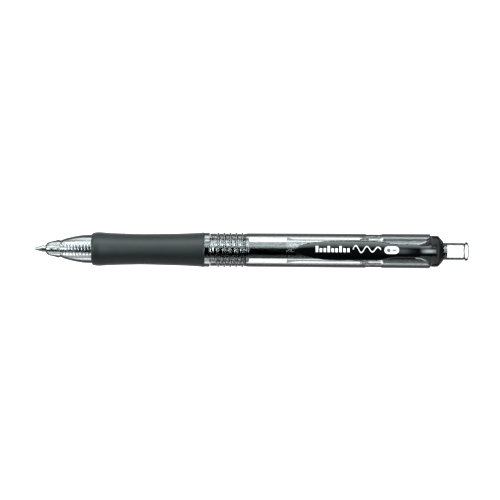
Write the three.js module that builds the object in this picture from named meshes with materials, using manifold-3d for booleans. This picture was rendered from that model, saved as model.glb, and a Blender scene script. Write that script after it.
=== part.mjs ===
// A retractable gel pen: clear front section with a rubber grip, clear ribbed rear barrel, gel refill,
// cam click mechanism, black tail cap with a pocket clip, and a clear push button.
// Millimetres. The pen lies along X with its writing point towards -X and its clip up, and rests on Z = 0.
// Stations are distances from the writing point towards the button, with the point out, ready to write.
import * as THREE from "three";
import { mergeVertices } from "three/addons/utils/BufferGeometryUtils.js";
import Module from "manifold-3d";

const wasm = await Module();
wasm.setup();

// ---- Lengths that make up the pen, from the writing point to the end of the button ----
const tipStandOut = 4.0;
const noseLength = 15.3;
const gripLength = 37.6;
const collarLength = 1.8;
const barrelLength = 73.2;
const capCollarLength = 2.7;
const capChamferLength = 1.6;
const buttonStandOut = 8.5;

// ---- Travel of the click mechanism ----
const overtravel = 1.0;
const retraction = 5.5;

// ---- Clearances ----
const seam = 0.1;
const slideClearance = 0.09;
const seatClearance = 0.07;
const contactGap = 0.05;
const softEdge = 0.15;
const leadIn = 0.4;

// ---- Refill ----
const refillRadius = 2.9;
const tubeWall = 0.4;
const ballRadius = 0.25;
const ballClearance = 0.02;
const ballBehindLip = 0.09;
const tipRadius = 1.15;
const tipConeLength = 2.75;
const tipShoulderLength = 0.6;
const tipShoulderDrop = 0.12;
const tipLipWall = 0.07;
const tipCrimpLength = 0.04;
const shankRadius = 1.0;
const shankLength = 3.4;
const inkChannelRadius = 0.35;
const feedHoleRadius = 0.13;
const feedHoleLength = 0.5;
const feedConeLength = 0.3;
const neckRadius = 1.5;
const holderRadius = 2.3;
const holderBodyLength = 4.4;
const holderFlangeLength = 1.0;
const holderPlugLength = 5.0;
const holderBore = 0.8;
const followerLength = 5.0;
const followerDish = 0.4;
const emptyLength = 3.9;
const endPlugLength = 4.5;
const endPlugFlange = 0.7;
const ventRadius = 0.5;

// ---- Springs ----
const springLength = 18.0;
const springWireRadius = 0.19;
const springTurns = 18;
const springClosedTurns = 1;
const springClearance = 0.2;
const ballSpringWireRadius = 0.05;
const ballSpringTurns = 9;
const ballSpringTaper = 0.1;
const ballSpringRodLength = 2.6;
const ballSpringCoilLength = 5.5;
const wireSides = 5;
const wireStepsPerTurn = 10;

// ---- Front section ----
const noseBoreClearance = 0.17;
const noseLipWall = 0.15;
const noseBoreLength = 4.9;
const noseRoundLength = 0.3;
const noseRoundHeight = 0.2;
const noseDomeLength = 2.0;
const noseDomeHeight = 1.08;
const noseConeLength = 4.2;
const noseRingLength = 0.35;
const noseRingSlope = 0.2;
const noseGrooveLength = 0.25;
const chamberClearance = 0.3;
const flangeClearance = 0.3;
const frontBoreClearance = 0.2;
const noseGrooveWall = 0.5;
const noseRingHeight = 0.25;
const noseShoulder = 0.65;
const seatWall = 1.2;
const gripFrontThickness = 1.41;
const gripWaistThickness = 0.88;
const gripRearThickness = 1.6;
const gripWaistStation = 16.5;
const gripSwellStation = 2.6;
const gripNeckStation = 9.9;
const gripRearRise = 9.9;
const gripFrontRound = 0.65;
const gripRearRound = 0.3;
const gripSteps = 13;
const collarProud = 0.08;

// ---- Screw thread between the front section and the rear barrel ----
const threadPitch = 2.0;
const threadTurns = 5;
const threadHeight = 0.45;
const threadRootWidth = 1.0;
const threadCrestWidth = 0.6;
const threadClearance = 0.15;
const threadLead = 1.1;
const threadRunOut = 1.15;
const spigotTail = 2.0;
const spigotClearance = 0.17;

// ---- Rear barrel ----
const barrelWall = 1.5;
const barrelFlare = 0.16;
const ribCount = 5;
const ribPitch = 2.0;
const ribWidth = 0.7;
const ribHeight = 0.12;
const ribbedStep = 0.03;
const firstRibStation = 2.7;
const ribbedLength = 11.6;
const ribSlope = 0.1;

// ---- Cam sleeve and its snap tabs ----
const sleeveLength = 31.4;
const sleeveClearance = 0.4;
const sleeveWall = 0.47;
const sleeveGap = 0.5;
const sleeveCollarLength = 0.4;
const sleeveTaperLength = 2.3;
const tabRampLength = 2.6;
const tabFlatLength = 4.0;
const tabWidth = 4.0;
const tabProud = 0.2;
const tabArmLength = 11.6;
const tabRootDepth = 0.2;
const windowRampStretch = 1.4;
const windowClearance = 0.15;
const slotWidth = 0.4;
const camRibHeight = 0.45;
const camRadialGap = 0.15;
const keyTopClearance = 0.2;
const keyRootDepth = 0.5;
const keySlant = 0.7;
const keyWidth = 1.6;
const keyCount = 4;
const keySideClearance = 0.2;
const camAxialGap = 0.2;

// ---- Rotor, plunger and push button ----
const crownTeeth = 8;
const crownHeight = 0.8;
const crownGap = 0.4;
const rotorLength = 5.05;
const rotorGap = 0.15;
const rotorBore = 1.2;
const rotorBoreLength = 3.0;
const rotorKeyLength = 2.6;
const plungerKeyLength = 3.1;
const plungerStandOut = 1.4;
const plungerBore = 1.2;
const plungerBoreLength = 11.0;
const buttonRadius = 2.93;
const buttonWall = 0.53;
const buttonFootClearance = 0.3;
const buttonFootLength = 1.0;
const buttonStopGap = 0.2;
const camEndGap = 0.6;
const buttonEndThickness = 1.5;
const buttonFlangeHeight = 0.27;
const buttonFlangeLength = 1.3;
const buttonEdge = 0.3;
const buttonFlangeSlope = 0.1;
const buttonCrown = 0.06;

// ---- Tail cap ----
const capCollarStep = 0.68;
const capNoseWall = 0.33;
const tailTubeLength = 15.7;
const tailTubeWall = 0.45;
const saddleFront = 5.0;
const saddleArcLength = 4.3;
const saddleSideInset = 0.93;
const saddleLedgeDepth = 0.6;
const saddleGap = 0.15;
const saddleOverlap = 0.6;
const moundFlareInset = 0.9;
const moundFrontShare = 0.6;
const moundFrontDrop = 0.05;
const moundRearInset = 0.5;
const moundRearDrop = 0.7;
const moundCollarInset = 0.3;
const moundCollarRise = 0.55;
const moundSteps = 10;
const toolCoreShare = 0.2;
const moundHalfWidth = 2.9;
const moundEndHalfWidth = 2.0;
const moundEndInset = 0.6;
const moundEndHeight = 1.2;

// ---- Pocket clip ----
const clipLength = 37.8;
const clipHingeInset = 7.5;
const clipHalfWidth = 3.3;
const clipNeckHalfWidth = 2.2;
const clipNoseLength = 15.6;
const clipNeckLength = 3.7;
const clipTaperLength = 7.1;
const clipThickness = 1.6;
const clipBarrelGap = 0.14;
const clipCrest = 0.3;
const clipKnuckleGap = 0.1;
const clipArmThickness = 1.5;
const clipLipShare = 0.98;
const clipCrestStation = 14;
const clipRearStation = 6;
const clipRearDrop = 0.08;
const clipNoseSetback = 1.6;
const clipNoseDrop = 0.15;
const clipFrontStation = 6;
const clipFrontDrop = 0.6;
const clipTipThickness = 0.5;
const clipTipDrop = 0.8;
const clipPadStation = 4.6;
const clipPadRise = 0.4;
const clipPadFront = 2.4;
const clipPadRear = 2.6;
const clipPadEnd = 6.4;
const clipPadEndDrop = 0.1;
const cupHalfAngle = 0.44 * Math.PI;
const clipTopSteps = 14;
const clipBottomSteps = 18;

const roundSides = 24;
const roundPhase = Math.PI / roundSides;
const roundScale = 1 / Math.cos(roundPhase);

// ---- Stations worked out from the lengths ----
const noseStart = tipStandOut;
const gripStart = noseStart + noseLength;
const gripEnd = gripStart + gripLength;
const collarEnd = gripEnd + collarLength;
const barrelStart = collarEnd + seam;
const barrelEnd = barrelStart + barrelLength;
const capStart = barrelEnd + seam;
const capShoulder = capStart + capCollarLength;
const capEnd = capShoulder + capChamferLength;
const buttonEnd = capEnd + buttonStandOut;

const chamberStart = noseStart + noseBoreLength;
const neckStart = chamberStart + overtravel + seam;
const springSeat = chamberStart + springLength + 2 * contactGap;
const flangeStart = springSeat + holderBodyLength;
const chamberEnd = flangeStart - overtravel - flangeClearance;
const plugStart = flangeStart + holderFlangeLength;
const holderEnd = plugStart + holderPlugLength;

const tailTubeStart = barrelEnd - tailTubeLength;
const tabShoulder = tailTubeStart - 2 * slotWidth + seam;
const sleeveStart = tabShoulder - sleeveLength;
const armEnd = tabShoulder + slotWidth;
const camStart = tailTubeStart + camAxialGap + seam;
const rotorEnd = camStart - crownHeight / 2;
const rotorStart = rotorEnd - rotorLength;
const refillEnd = rotorStart - rotorGap;
const plungerStart = rotorEnd + crownHeight + crownGap;
const buttonStart = barrelEnd - buttonStopGap - retraction - buttonFootLength;
const camEnd = buttonStart - overtravel - camEndGap;
const plungerShoulder = buttonStart - seam;
const plungerEnd = capEnd + plungerStandOut;
const inkStart = holderEnd + seam;
const followerEnd = refillEnd - endPlugLength - emptyLength;
const inkEnd = followerEnd - followerLength - seam;
const threadStart = barrelStart + threadLead;
const spigotEnd = threadStart + threadTurns * threadPitch + spigotTail;
const clipHinge = barrelEnd - clipHingeInset;
const clipFront = clipHinge - clipLength;

// ---- Radii worked out from the refill outwards ----
const tubeBore = refillRadius - tubeWall;
const noseBore = tipRadius + noseBoreClearance;
const springInner = neckRadius + springClearance;
const springMean = springInner + springWireRadius;
const chamberRadius = springInner + 2 * springWireRadius + chamberClearance;
const frontBore = refillRadius + frontBoreClearance;
const sleeveBore = refillRadius + sleeveClearance;
const sleeveRadius = sleeveBore + sleeveWall;
const barrelBore = sleeveRadius + sleeveGap;
const barrelRadius = barrelBore + barrelWall;
const barrelRearRadius = barrelRadius + barrelFlare;
const ribbedRadius = barrelRadius + ribbedStep;
const spigotRadius = barrelBore - spigotClearance;
const seatRadius = frontBore + seatWall;
const collarRadius = ribbedRadius + collarProud;
const tailTubeRadius = barrelBore - seatClearance;
const tailTubeBore = tailTubeRadius - tailTubeWall;
const camOuterRadius = tailTubeBore - slideClearance;
const camRibRadius = sleeveBore - camRibHeight;
const rotorRadius = camRibRadius - camRadialGap;
const keyRadius = sleeveBore - keyTopClearance;
const grooveRadius = keyRadius + camRadialGap;
const buttonBore = buttonRadius - buttonWall;
const plungerRadius = buttonBore - seatClearance;
const buttonFootRadius = tailTubeBore - buttonFootClearance;
const capBore = buttonRadius + slideClearance;
const capCollarRadius = barrelRearRadius - capCollarStep;
const tabRadius = barrelRadius + tabProud;
const inkWall = tubeBore - seatClearance;
const saddleHalfWidth = barrelRearRadius - saddleSideInset;
const saddleLedge = Math.sqrt(barrelRearRadius ** 2 - saddleHalfWidth ** 2) - saddleLedgeDepth;
const clipHingeZ = barrelRearRadius + clipBarrelGap + clipThickness / 2;
const widest = [barrelRearRadius, ribbedRadius + ribHeight, collarRadius, seatRadius + gripRearThickness];
const restHeight = Math.max(...widest);

// ---- Turning, cutting and joining ----

// A closed solid from a geometry, for joining and cutting.
function solid(geometry) {
  const bare = geometry.index ? geometry.toNonIndexed() : geometry.clone();
  bare.deleteAttribute("normal");
  bare.deleteAttribute("uv");
  const merged = mergeVertices(bare);
  return new wasm.Manifold(
    new wasm.Mesh({
      numProp: 3,
      vertProperties: merged.attributes.position.array,
      triVerts: new Uint32Array(merged.index.array),
    }),
  );
}

// The geometry of a joined or cut solid.
function shapeOf(made) {
  const mesh = made.getMesh();
  const geometry = new THREE.BufferGeometry();
  geometry.setAttribute("position", new THREE.BufferAttribute(mesh.vertProperties, 3));
  geometry.setIndex(new THREE.BufferAttribute(mesh.triVerts, 1));
  geometry.computeVertexNormals();
  return geometry;
}

// A piece turned about the pen's axis. The profile's points are [station, radius]. It runs from the front to
// the rear outside and back inside, and either closes on itself or starts and ends on the axis.
// Its sides are flats that touch the true circle, and the pen lies on one of them.
function turned(profile) {
  const points = profile.map(([station, radius]) => new THREE.Vector2(radius * roundScale, station));
  return new THREE.LatheGeometry(points, roundSides, roundPhase).rotateZ(-Math.PI / 2);
}

function ring(start, end, outer, inner) {
  return turned([[start, inner], [start, outer], [end, outer], [end, inner], [start, inner]]);
}

// A box between two stations, from one corner (y, z) to the other.
function block(start, end, [y0, z0], [y1, z1]) {
  const box = new THREE.BoxGeometry(end - start, y1 - y0, z1 - z0);
  return box.translate((start + end) / 2, (y0 + y1) / 2, (z0 + z1) / 2);
}

function outlineOf(points) {
  return new THREE.Shape(points.map(([x, y]) => new THREE.Vector2(x, y)));
}

// A plan outline of [station, y] points, raised from one height to another.
function raised(points, low, high) {
  const options = { depth: high - low, bevelEnabled: false };
  return new THREE.ExtrudeGeometry(outlineOf(points), options).translate(0, 0, low);
}

// A side outline of [station, height] points, spread evenly across the pen.
function spread(points, halfWidth) {
  const options = { depth: 2 * halfWidth, bevelEnabled: false };
  const shape = new THREE.ExtrudeGeometry(outlineOf(points), options);
  return shape.rotateX(Math.PI / 2).translate(0, halfWidth, 0);
}

// An outline of [axial, radial] points swept about the axis while it moves along it, as a thread does.
function helicalRidge(points, turns, pitch) {
  const angle = turns * 2 * Math.PI;
  const options = { depth: angle, steps: Math.round(turns * roundSides), bevelEnabled: false };
  const ridge = new THREE.ExtrudeGeometry(outlineOf(points), options);
  const place = ridge.attributes.position;
  for (let i = 0; i < place.count; i++) {
    const turn = place.getZ(i);
    const radius = place.getY(i) * roundScale;
    const station = place.getX(i) + (pitch * turn) / (2 * Math.PI);
    place.setXYZ(i, station, radius * Math.cos(turn + roundPhase), radius * Math.sin(turn + roundPhase));
  }
  return ridge;
}

// Points of a smooth curve through a few given ones.
function smooth(points, steps) {
  const curve = new THREE.SplineCurve(points.map(([x, y]) => new THREE.Vector2(x, y)));
  return curve.getPoints(steps).map((p) => [p.x, p.y]);
}

function piece(name, geometry, colour, roughness, metalness = 0, opacity = 1) {
  const transparent = opacity < 1;
  const options = { color: colour, roughness, metalness, opacity, transparent };
  const mesh = new THREE.Mesh(geometry, new THREE.MeshStandardMaterial(options));
  mesh.name = name;
  return mesh;
}

const clearPlastic = [0xe6ecec, 0.08, 0, 0.35];
const smokePlastic = [0xaab0b0, 0.08, 0, 0.4];
const blackPlastic = [0x0b0c0d, 0.16];
const blackRubber = [0x24292a, 0.75];
const springSteel = [0xb8bcc0, 0.3, 1];
const tipMetal = [0xc9c6c0, 0.25, 1];

// ---- Refill ----

// A wire coil along the axis: its end turns are closed, and the ones between are evenly spread.
class Coil extends THREE.Curve {
  constructor(radius, start, end, turns, closedTurns, closedPitch) {
    super();
    Object.assign(this, { radius, start, end, turns, closedTurns, closedPitch });
  }

  getPoint(t, target = new THREE.Vector3()) {
    const turn = t * this.turns;
    const closedLength = this.closedTurns * this.closedPitch;
    const openTurns = this.turns - 2 * this.closedTurns;
    const openPitch = (this.end - this.start - 2 * closedLength) / openTurns;
    const front = Math.min(turn, this.closedTurns) * this.closedPitch;
    const open = Math.min(Math.max(turn - this.closedTurns, 0), openTurns) * openPitch;
    const rear = Math.max(turn - this.closedTurns - openTurns, 0) * this.closedPitch;
    const angle = 2 * Math.PI * turn;
    const station = this.start + front + open + rear;
    return target.set(station, this.radius * Math.cos(angle), this.radius * Math.sin(angle));
  }
}

// A tube of wire along a curve.
function wire(curve, radius, sides, steps) {
  const section = new THREE.Shape();
  for (let i = 0; i < sides; i++) {
    const angle = (2 * Math.PI * i) / sides;
    const [x, y] = [radius * Math.cos(angle), radius * Math.sin(angle)];
    if (i) section.lineTo(x, y);
    else section.moveTo(x, y);
  }
  section.closePath();
  return new THREE.ExtrudeGeometry(section, { steps, extrudePath: curve, bevelEnabled: false });
}

function returnSpring() {
  const closedPitch = 2 * springWireRadius + contactGap;
  const start = chamberStart + contactGap + springWireRadius;
  const end = springSeat - contactGap - springWireRadius;
  const coil = new Coil(springMean, start, end, springTurns, springClosedTurns, closedPitch);
  const geometry = wire(coil, springWireRadius, wireSides, springTurns * wireStepsPerTurn);
  return piece("return_spring", geometry, ...springSteel);
}

function writingBall() {
  const geometry = new THREE.SphereGeometry(ballRadius, 14, 8).translate(ballRadius, 0, 0);
  return piece("writing_ball", geometry, 0x8d9094, 0.2, 1);
}

// The turned metal point: a socket that holds the ball, a cone, a cylinder and a shank pressed into the
// holder.
function writingTip() {
  const socket = ballRadius + ballClearance;
  const lip = ballRadius - ballBehindLip;
  const lipHole = Math.sqrt(ballRadius ** 2 - ballBehindLip ** 2) + ballClearance / 2;
  const coneEnd = lip + tipConeLength;
  const shankEnd = neckStart + shankLength;
  const feedStart = ballRadius + Math.sqrt(socket ** 2 - feedHoleRadius ** 2);
  const socketWall = [];
  const steps = 6;
  for (let i = 1; i <= steps; i++) {
    const start = Math.asin(feedHoleRadius / socket);
    const end = Math.acos((tipCrimpLength - ballBehindLip) / socket);
    const angle = start + ((end - start) * i) / steps;
    socketWall.push([ballRadius + socket * Math.cos(angle), socket * Math.sin(angle)]);
  }
  const profile = [
    [lip, lipHole],
    [lip, lipHole + tipLipWall],
    [coneEnd - tipShoulderLength, tipRadius - tipShoulderDrop],
    [coneEnd, tipRadius],
    [neckStart - seam, tipRadius],
    [neckStart - seam, shankRadius],
    [shankEnd, shankRadius],
    [shankEnd, inkChannelRadius],
    [feedStart + feedHoleLength + feedConeLength, inkChannelRadius],
    [feedStart + feedHoleLength, feedHoleRadius],
    [feedStart, feedHoleRadius],
    ...socketWall,
    [lip, lipHole],
  ];
  return piece("writing_tip", turned(profile), ...tipMetal);
}

// The fine spring that keeps the ball on its seat: a straight end behind the ball, then a coil in the
// channel.
class BallSpringPath extends THREE.Curve {
  getPoint(t, target = new THREE.Vector3()) {
    const start = 2 * ballRadius + contactGap;
    const length = ballSpringRodLength + ballSpringCoilLength;
    const along = t * length;
    const share = Math.max(along - ballSpringRodLength, 0) / ballSpringCoilLength;
    const angle = 2 * Math.PI * ballSpringTurns * share;
    const reach = (inkChannelRadius - ballSpringWireRadius - contactGap) * Math.min(1, share / ballSpringTaper);
    return target.set(start + along, reach * Math.cos(angle), reach * Math.sin(angle));
  }
}

function ballSpring() {
  const steps = ballSpringTurns * wireStepsPerTurn;
  const geometry = wire(new BallSpringPath(), ballSpringWireRadius, wireSides - 1, steps);
  return piece("ball_spring", geometry, ...springSteel);
}

// The moulded holder: a slim neck inside the return spring, a shoulder that the spring pushes on, a plug.
function tipHolder() {
  const profile = [
    [neckStart, shankRadius + contactGap],
    [neckStart, neckRadius - softEdge],
    [neckStart + leadIn, neckRadius],
    [springSeat, neckRadius],
    [springSeat, holderRadius],
    [flangeStart, holderRadius],
    [flangeStart, refillRadius - contactGap],
    [plugStart, refillRadius - contactGap],
    [plugStart, tubeBore - contactGap],
    [holderEnd, tubeBore - contactGap],
    [holderEnd, holderBore],
    [neckStart + shankLength + seam, holderBore],
    [neckStart + shankLength + seam, shankRadius + contactGap],
    [neckStart, shankRadius + contactGap],
  ];
  return piece("tip_holder", turned(profile), 0xdfe4e4, 0.35, 0, 0.6);
}

function refillTube() {
  const geometry = ring(plugStart + seam, refillEnd - endPlugFlange - seam, refillRadius, tubeBore);
  return piece("refill_tube", geometry, 0xe4e9ea, 0.2, 0, 0.4);
}

function inkColumn() {
  const feed = holderBore - seatClearance;
  const feedStart = neckStart + shankLength + 2 * seam;
  const profile = [
    [feedStart, 0],
    [feedStart, feed],
    [inkStart, feed],
    [inkStart, inkWall],
    [inkEnd, inkWall],
    [inkEnd, 0],
  ];
  return piece("ink_column", turned(profile), 0x050506, 0.3);
}

// The clear grease plug that follows the ink and seals it from the air.
function inkFollower() {
  const start = inkEnd + seam;
  const end = followerEnd;
  const profile = [[start, 0], [start, inkWall], [end, inkWall], [end - followerDish, 0]];
  return piece("ink_follower", turned(profile), 0xd9d4c2, 0.25, 0, 0.6);
}

function refillEndPlug() {
  const profile = [
    [refillEnd - endPlugLength, ventRadius],
    [refillEnd - endPlugLength, inkWall - softEdge],
    [refillEnd - endPlugLength + leadIn, inkWall],
    [refillEnd - endPlugFlange, inkWall],
    [refillEnd - endPlugFlange, refillRadius - contactGap],
    [refillEnd, refillRadius - contactGap],
    [refillEnd, ventRadius],
    [refillEnd - endPlugLength, ventRadius],
  ];
  return piece("refill_end_plug", turned(profile), 0x15171a, 0.35);
}

// ---- Front section ----

// The nose's outside, from its lip past a fine ring and groove to the shoulder in front of the grip.
function noseOutline() {
  const lip = noseBore + noseLipWall;
  const groove = chamberRadius + noseGrooveWall;
  const crest = groove + noseRingHeight;
  const ringEnd = noseConeLength + noseRingLength;
  const grooveStart = ringEnd + noseRingSlope;
  const grooveEnd = grooveStart + noseGrooveLength;
  const points = [
    [0, lip],
    [noseRoundLength, lip + noseRoundHeight],
    [0.7 * noseDomeLength, lip + 0.88 * noseDomeHeight],
    [noseDomeLength, lip + noseDomeHeight],
    [noseConeLength, crest],
    [ringEnd, crest],
    [grooveStart, groove],
    [grooveEnd, groove],
  ];
  const rear = seatRadius + noseShoulder;
  const steps = 6;
  for (let i = 1; i <= steps; i++) {
    const share = i / steps;
    const fullness = 1 - (1 - share) ** 2;
    points.push([grooveEnd + (noseLength - grooveEnd) * share, groove + (rear - groove) * fullness]);
  }
  return points.map(([along, radius]) => [noseStart + along, radius]);
}

// The thread's section: wide at the root and narrow at the crest, grown by a clearance for the cut in the
// barrel.
function threadSection(start, inner, growth) {
  const root = spigotRadius;
  const crest = root + threadHeight + growth;
  const slope = (threadRootWidth - threadCrestWidth) / 2 / threadHeight;
  const halfAt = (radius) => threadRootWidth / 2 - slope * (radius - root) + growth;
  return [
    [start - halfAt(inner), inner],
    [start + halfAt(inner), inner],
    [start + halfAt(crest), crest],
    [start - halfAt(crest), crest],
  ];
}

function frontBarrel() {
  const profile = [
    [noseStart, noseBore],
    ...noseOutline(),
    [gripStart, seatRadius],
    [gripEnd, seatRadius],
    [gripEnd, collarRadius - softEdge],
    [gripEnd + softEdge, collarRadius],
    [collarEnd - softEdge, collarRadius],
    [collarEnd, collarRadius - softEdge],
    [collarEnd, spigotRadius],
    [spigotEnd - leadIn, spigotRadius],
    [spigotEnd, spigotRadius - 2 * softEdge],
    [spigotEnd, frontBore],
    [chamberEnd, frontBore],
    [chamberEnd, chamberRadius],
    [chamberStart, chamberRadius],
    [chamberStart, noseBore],
    [noseStart, noseBore],
  ];
  const section = threadSection(threadStart, spigotRadius - softEdge, 0);
  const ridge = solid(helicalRidge(section, threadTurns, threadPitch));
  return piece("front_barrel", shapeOf(solid(turned(profile)).add(ridge)), ...clearPlastic);
}

// The rubber sleeve, swelling in front of the fingers and towards the barrel, with a shallow waist between.
function rubberGrip() {
  const bore = seatRadius + contactGap;
  const front = seatRadius + gripFrontThickness;
  const waist = seatRadius + gripWaistThickness;
  const rear = seatRadius + gripRearThickness;
  const outline = smooth(
    [
      [gripSwellStation / 3, front - softEdge],
      [gripSwellStation, front],
      [gripNeckStation, (front + 2 * waist) / 3],
      [gripWaistStation, waist],
      [gripLength - gripRearRise, (waist * 2 + rear) / 3],
      [gripLength - softEdge, rear],
    ],
    gripSteps,
  );
  const profile = [
    [contactGap, bore],
    [contactGap, front - gripFrontRound],
    [2 * softEdge, front - gripFrontRound / 2],
    ...outline,
    [gripLength - contactGap, rear - gripRearRound],
    [gripLength - contactGap, bore],
    [contactGap, bore],
  ];
  const geometry = turned(profile);
  const grip = piece("rubber_grip", geometry, ...blackRubber);
  grip.position.x = gripStart;
  return grip;
}

// ---- Rear barrel ----

// A snap tab seen from above: a ramp that faces the writing point, then a flat with a square shoulder.
function tabPlan(side, growth) {
  const rampSlope = (tabRadius - sleeveRadius) / tabRampLength;
  const flatStart = tabShoulder - tabFlatLength;
  const inner = sleeveRadius - tabRootDepth;
  const rampAt = (radius) => flatStart - (tabRadius - radius) / rampSlope - windowRampStretch * growth;
  const top = growth > 0 ? tabRadius + barrelWall : tabRadius;
  const points = [
    [rampAt(inner), inner],
    [tabShoulder + growth, inner],
    [tabShoulder + growth, top],
    [rampAt(top), top],
  ];
  return side > 0 ? points : points.map(([x, y]) => [x, -y]).reverse();
}

// The plan of the tail cap's saddle, which fills a flared cut in the top of the barrel's rear end.
function saddlePlan(inset, end) {
  const front = barrelEnd - saddleFront + inset;
  const arcStart = barrelEnd - saddleArcLength - 2 * saddleGap;
  const across = saddleHalfWidth - clipNeckHalfWidth + inset;
  const steps = 6;
  const side = [[front, clipNeckHalfWidth - inset]];
  for (let i = 0; i <= steps; i++) {
    const angle = (Math.PI / 2) * (i / steps);
    const station = arcStart + (saddleArcLength + inset) * Math.sin(angle);
    side.push([station, saddleHalfWidth - across * Math.cos(angle)]);
  }
  side.push([end, saddleHalfWidth]);
  const mirrored = side.map(([x, y]) => [x, -y]);
  return [...mirrored, ...side.reverse()];
}

function rearBarrel() {
  const ribs = [];
  for (let i = 0; i < ribCount; i++) {
    const middle = barrelStart + firstRibStation + i * ribPitch;
    ribs.push([middle - ribWidth / 2 - ribSlope, ribbedRadius]);
    ribs.push([middle - ribWidth / 2, ribbedRadius + ribHeight]);
    ribs.push([middle + ribWidth / 2, ribbedRadius + ribHeight]);
    ribs.push([middle + ribWidth / 2 + ribSlope, ribbedRadius]);
  }
  const ribbedEnd = barrelStart + ribbedLength;
  const profile = [
    [barrelStart, barrelBore],
    [barrelStart, ribbedRadius - softEdge],
    [barrelStart + softEdge, ribbedRadius],
    ...ribs,
    [ribbedEnd, ribbedRadius],
    [ribbedEnd + ribSlope, barrelRadius],
    [barrelEnd - softEdge, barrelRearRadius],
    [barrelEnd, barrelRearRadius - softEdge],
    [barrelEnd, barrelBore],
    [barrelStart, barrelBore],
  ];
  const grooveStart = threadStart - threadPitch;
  const section = threadSection(grooveStart, barrelBore - 2 * softEdge, threadClearance);
  const groove = helicalRidge(section, threadTurns + threadRunOut, threadPitch);
  const halfWindow = tabWidth / 2 + windowClearance;
  const scallop = raised(saddlePlan(0, barrelEnd + 1), saddleLedge, barrelRearRadius + 1);
  let made = solid(turned(profile)).subtract(solid(groove)).subtract(solid(scallop));
  for (const side of [-1, 1])
    made = made.subtract(solid(raised(tabPlan(side, windowClearance), -halfWindow, halfWindow)));
  return piece("rear_barrel", shapeOf(made), ...smokePlastic);
}

// ---- Cam sleeve ----

// One key or groove at an angle about the axis, between two radii. Its ends can slant, as a cam's do.
function keySolid(start, end, inner, outer, width, slant, angle) {
  const half = width / 2;
  const plan = [[start, -half], [end, -half], [end - slant, half], [start, half]];
  return solid(raised(plan, inner, outer).rotateX(angle));
}

function keys(start, end, inner, outer, width, slant = 0) {
  const all = [];
  for (let i = 0; i < keyCount; i++)
    all.push(keySolid(start, end, inner, outer, width, slant, (2 * Math.PI * i) / keyCount));
  return all;
}

function camSleeve() {
  const collar = barrelBore - seatClearance;
  const taperStart = sleeveStart + sleeveCollarLength;
  const profile = [
    [sleeveStart, sleeveBore],
    [sleeveStart, collar],
    [taperStart, collar],
    [taperStart + sleeveTaperLength, sleeveRadius],
    [armEnd, sleeveRadius],
    [armEnd, camOuterRadius],
    [camEnd, camOuterRadius],
    [camEnd, camRibRadius],
    [camStart, camRibRadius],
    [camStart, sleeveBore],
    [sleeveStart, sleeveBore],
  ];
  const halfTab = tabWidth / 2;
  const armStart = tabShoulder - tabArmLength;
  const slotInner = Math.sqrt(camRibRadius ** 2 - (halfTab + slotWidth) ** 2);
  const slotOuter = tabRadius + seam;
  let made = solid(turned(profile));
  for (const side of [-1, 1]) {
    made = made.add(solid(raised(tabPlan(side, 0), -halfTab, halfTab)));
    const [y0, y1] = side > 0 ? [slotInner, slotOuter] : [-slotOuter, -slotInner];
    for (const z of [-halfTab - slotWidth, halfTab])
      made = made.subtract(solid(block(armStart, armEnd, [y0, z], [y1, z + slotWidth])));
    const across = halfTab + slotWidth / 2;
    const gap = block(tabShoulder, armEnd, [y0, -across], [y1, across]);
    made = made.subtract(solid(gap));
  }
  const groove = keyWidth + 2 * keySideClearance;
  const [cutStart, cutEnd] = [camStart - leadIn, camEnd + leadIn];
  for (const cut of keys(cutStart, cutEnd, camRibRadius - keyRootDepth, grooveRadius, groove))
    made = made.subtract(cut);
  return piece("cam_sleeve", shapeOf(made), ...clearPlastic);
}

// ---- Click mechanism ----

// A turned piece whose end face at one station is a ring of pointed teeth: every other point of that face
// stands up by the crown's height.
function crowned(profile, station) {
  const points = profile.map(([along, radius]) => new THREE.Vector2(radius, along));
  const geometry = new THREE.LatheGeometry(points, 2 * crownTeeth).rotateZ(-Math.PI / 2);
  const place = geometry.attributes.position;
  for (let i = 0; i < place.count; i++) {
    if (Math.abs(place.getX(i) - station) > 1e-4) continue;
    const angle = Math.atan2(place.getY(i), place.getZ(i));
    const step = Math.round((angle * crownTeeth) / Math.PI);
    place.setX(i, station + (step % 2 === 0 ? 0.5 : -0.5) * crownHeight);
  }
  return geometry;
}

function camRotor() {
  const body = [
    [rotorStart, 0],
    [rotorStart, rotorRadius - 2 * softEdge],
    [rotorStart + leadIn, rotorRadius],
    [rotorEnd, rotorRadius],
    [rotorEnd, rotorBore],
    [rotorEnd - rotorBoreLength, rotorBore],
    [rotorEnd - rotorBoreLength, 0],
  ];
  let made = solid(crowned(body, rotorEnd));
  const keyEnd = camStart - camAxialGap;
  const keyInner = rotorRadius - keyRootDepth;
  for (const key of keys(keyEnd - rotorKeyLength, keyEnd, keyInner, keyRadius, keyWidth, keySlant))
    made = made.add(key);
  return piece("cam_rotor", shapeOf(made), 0xe8e6df, 0.35);
}

// The plunger: teeth that face the rotor, keys that slide in the sleeve, and a stem inside the button.
function plunger() {
  const body = [
    [plungerStart + plungerBoreLength, 0],
    [plungerStart + plungerBoreLength, plungerBore],
    [plungerStart, plungerBore],
    [plungerStart, rotorRadius],
    [plungerShoulder, rotorRadius],
    [plungerShoulder, plungerRadius],
    [plungerEnd - 2 * softEdge, plungerRadius],
    [plungerEnd, plungerRadius - 2 * softEdge],
    [plungerEnd, 0],
  ];
  let made = solid(crowned(body, plungerStart));
  const keyStart = plungerStart + crownHeight / 2 + camAxialGap;
  const keyInner = rotorRadius - keyRootDepth;
  for (const key of keys(keyStart, keyStart + plungerKeyLength, keyInner, keyRadius, keyWidth))
    made = made.add(key);
  return piece("plunger", shapeOf(made), ...blackPlastic);
}

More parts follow.
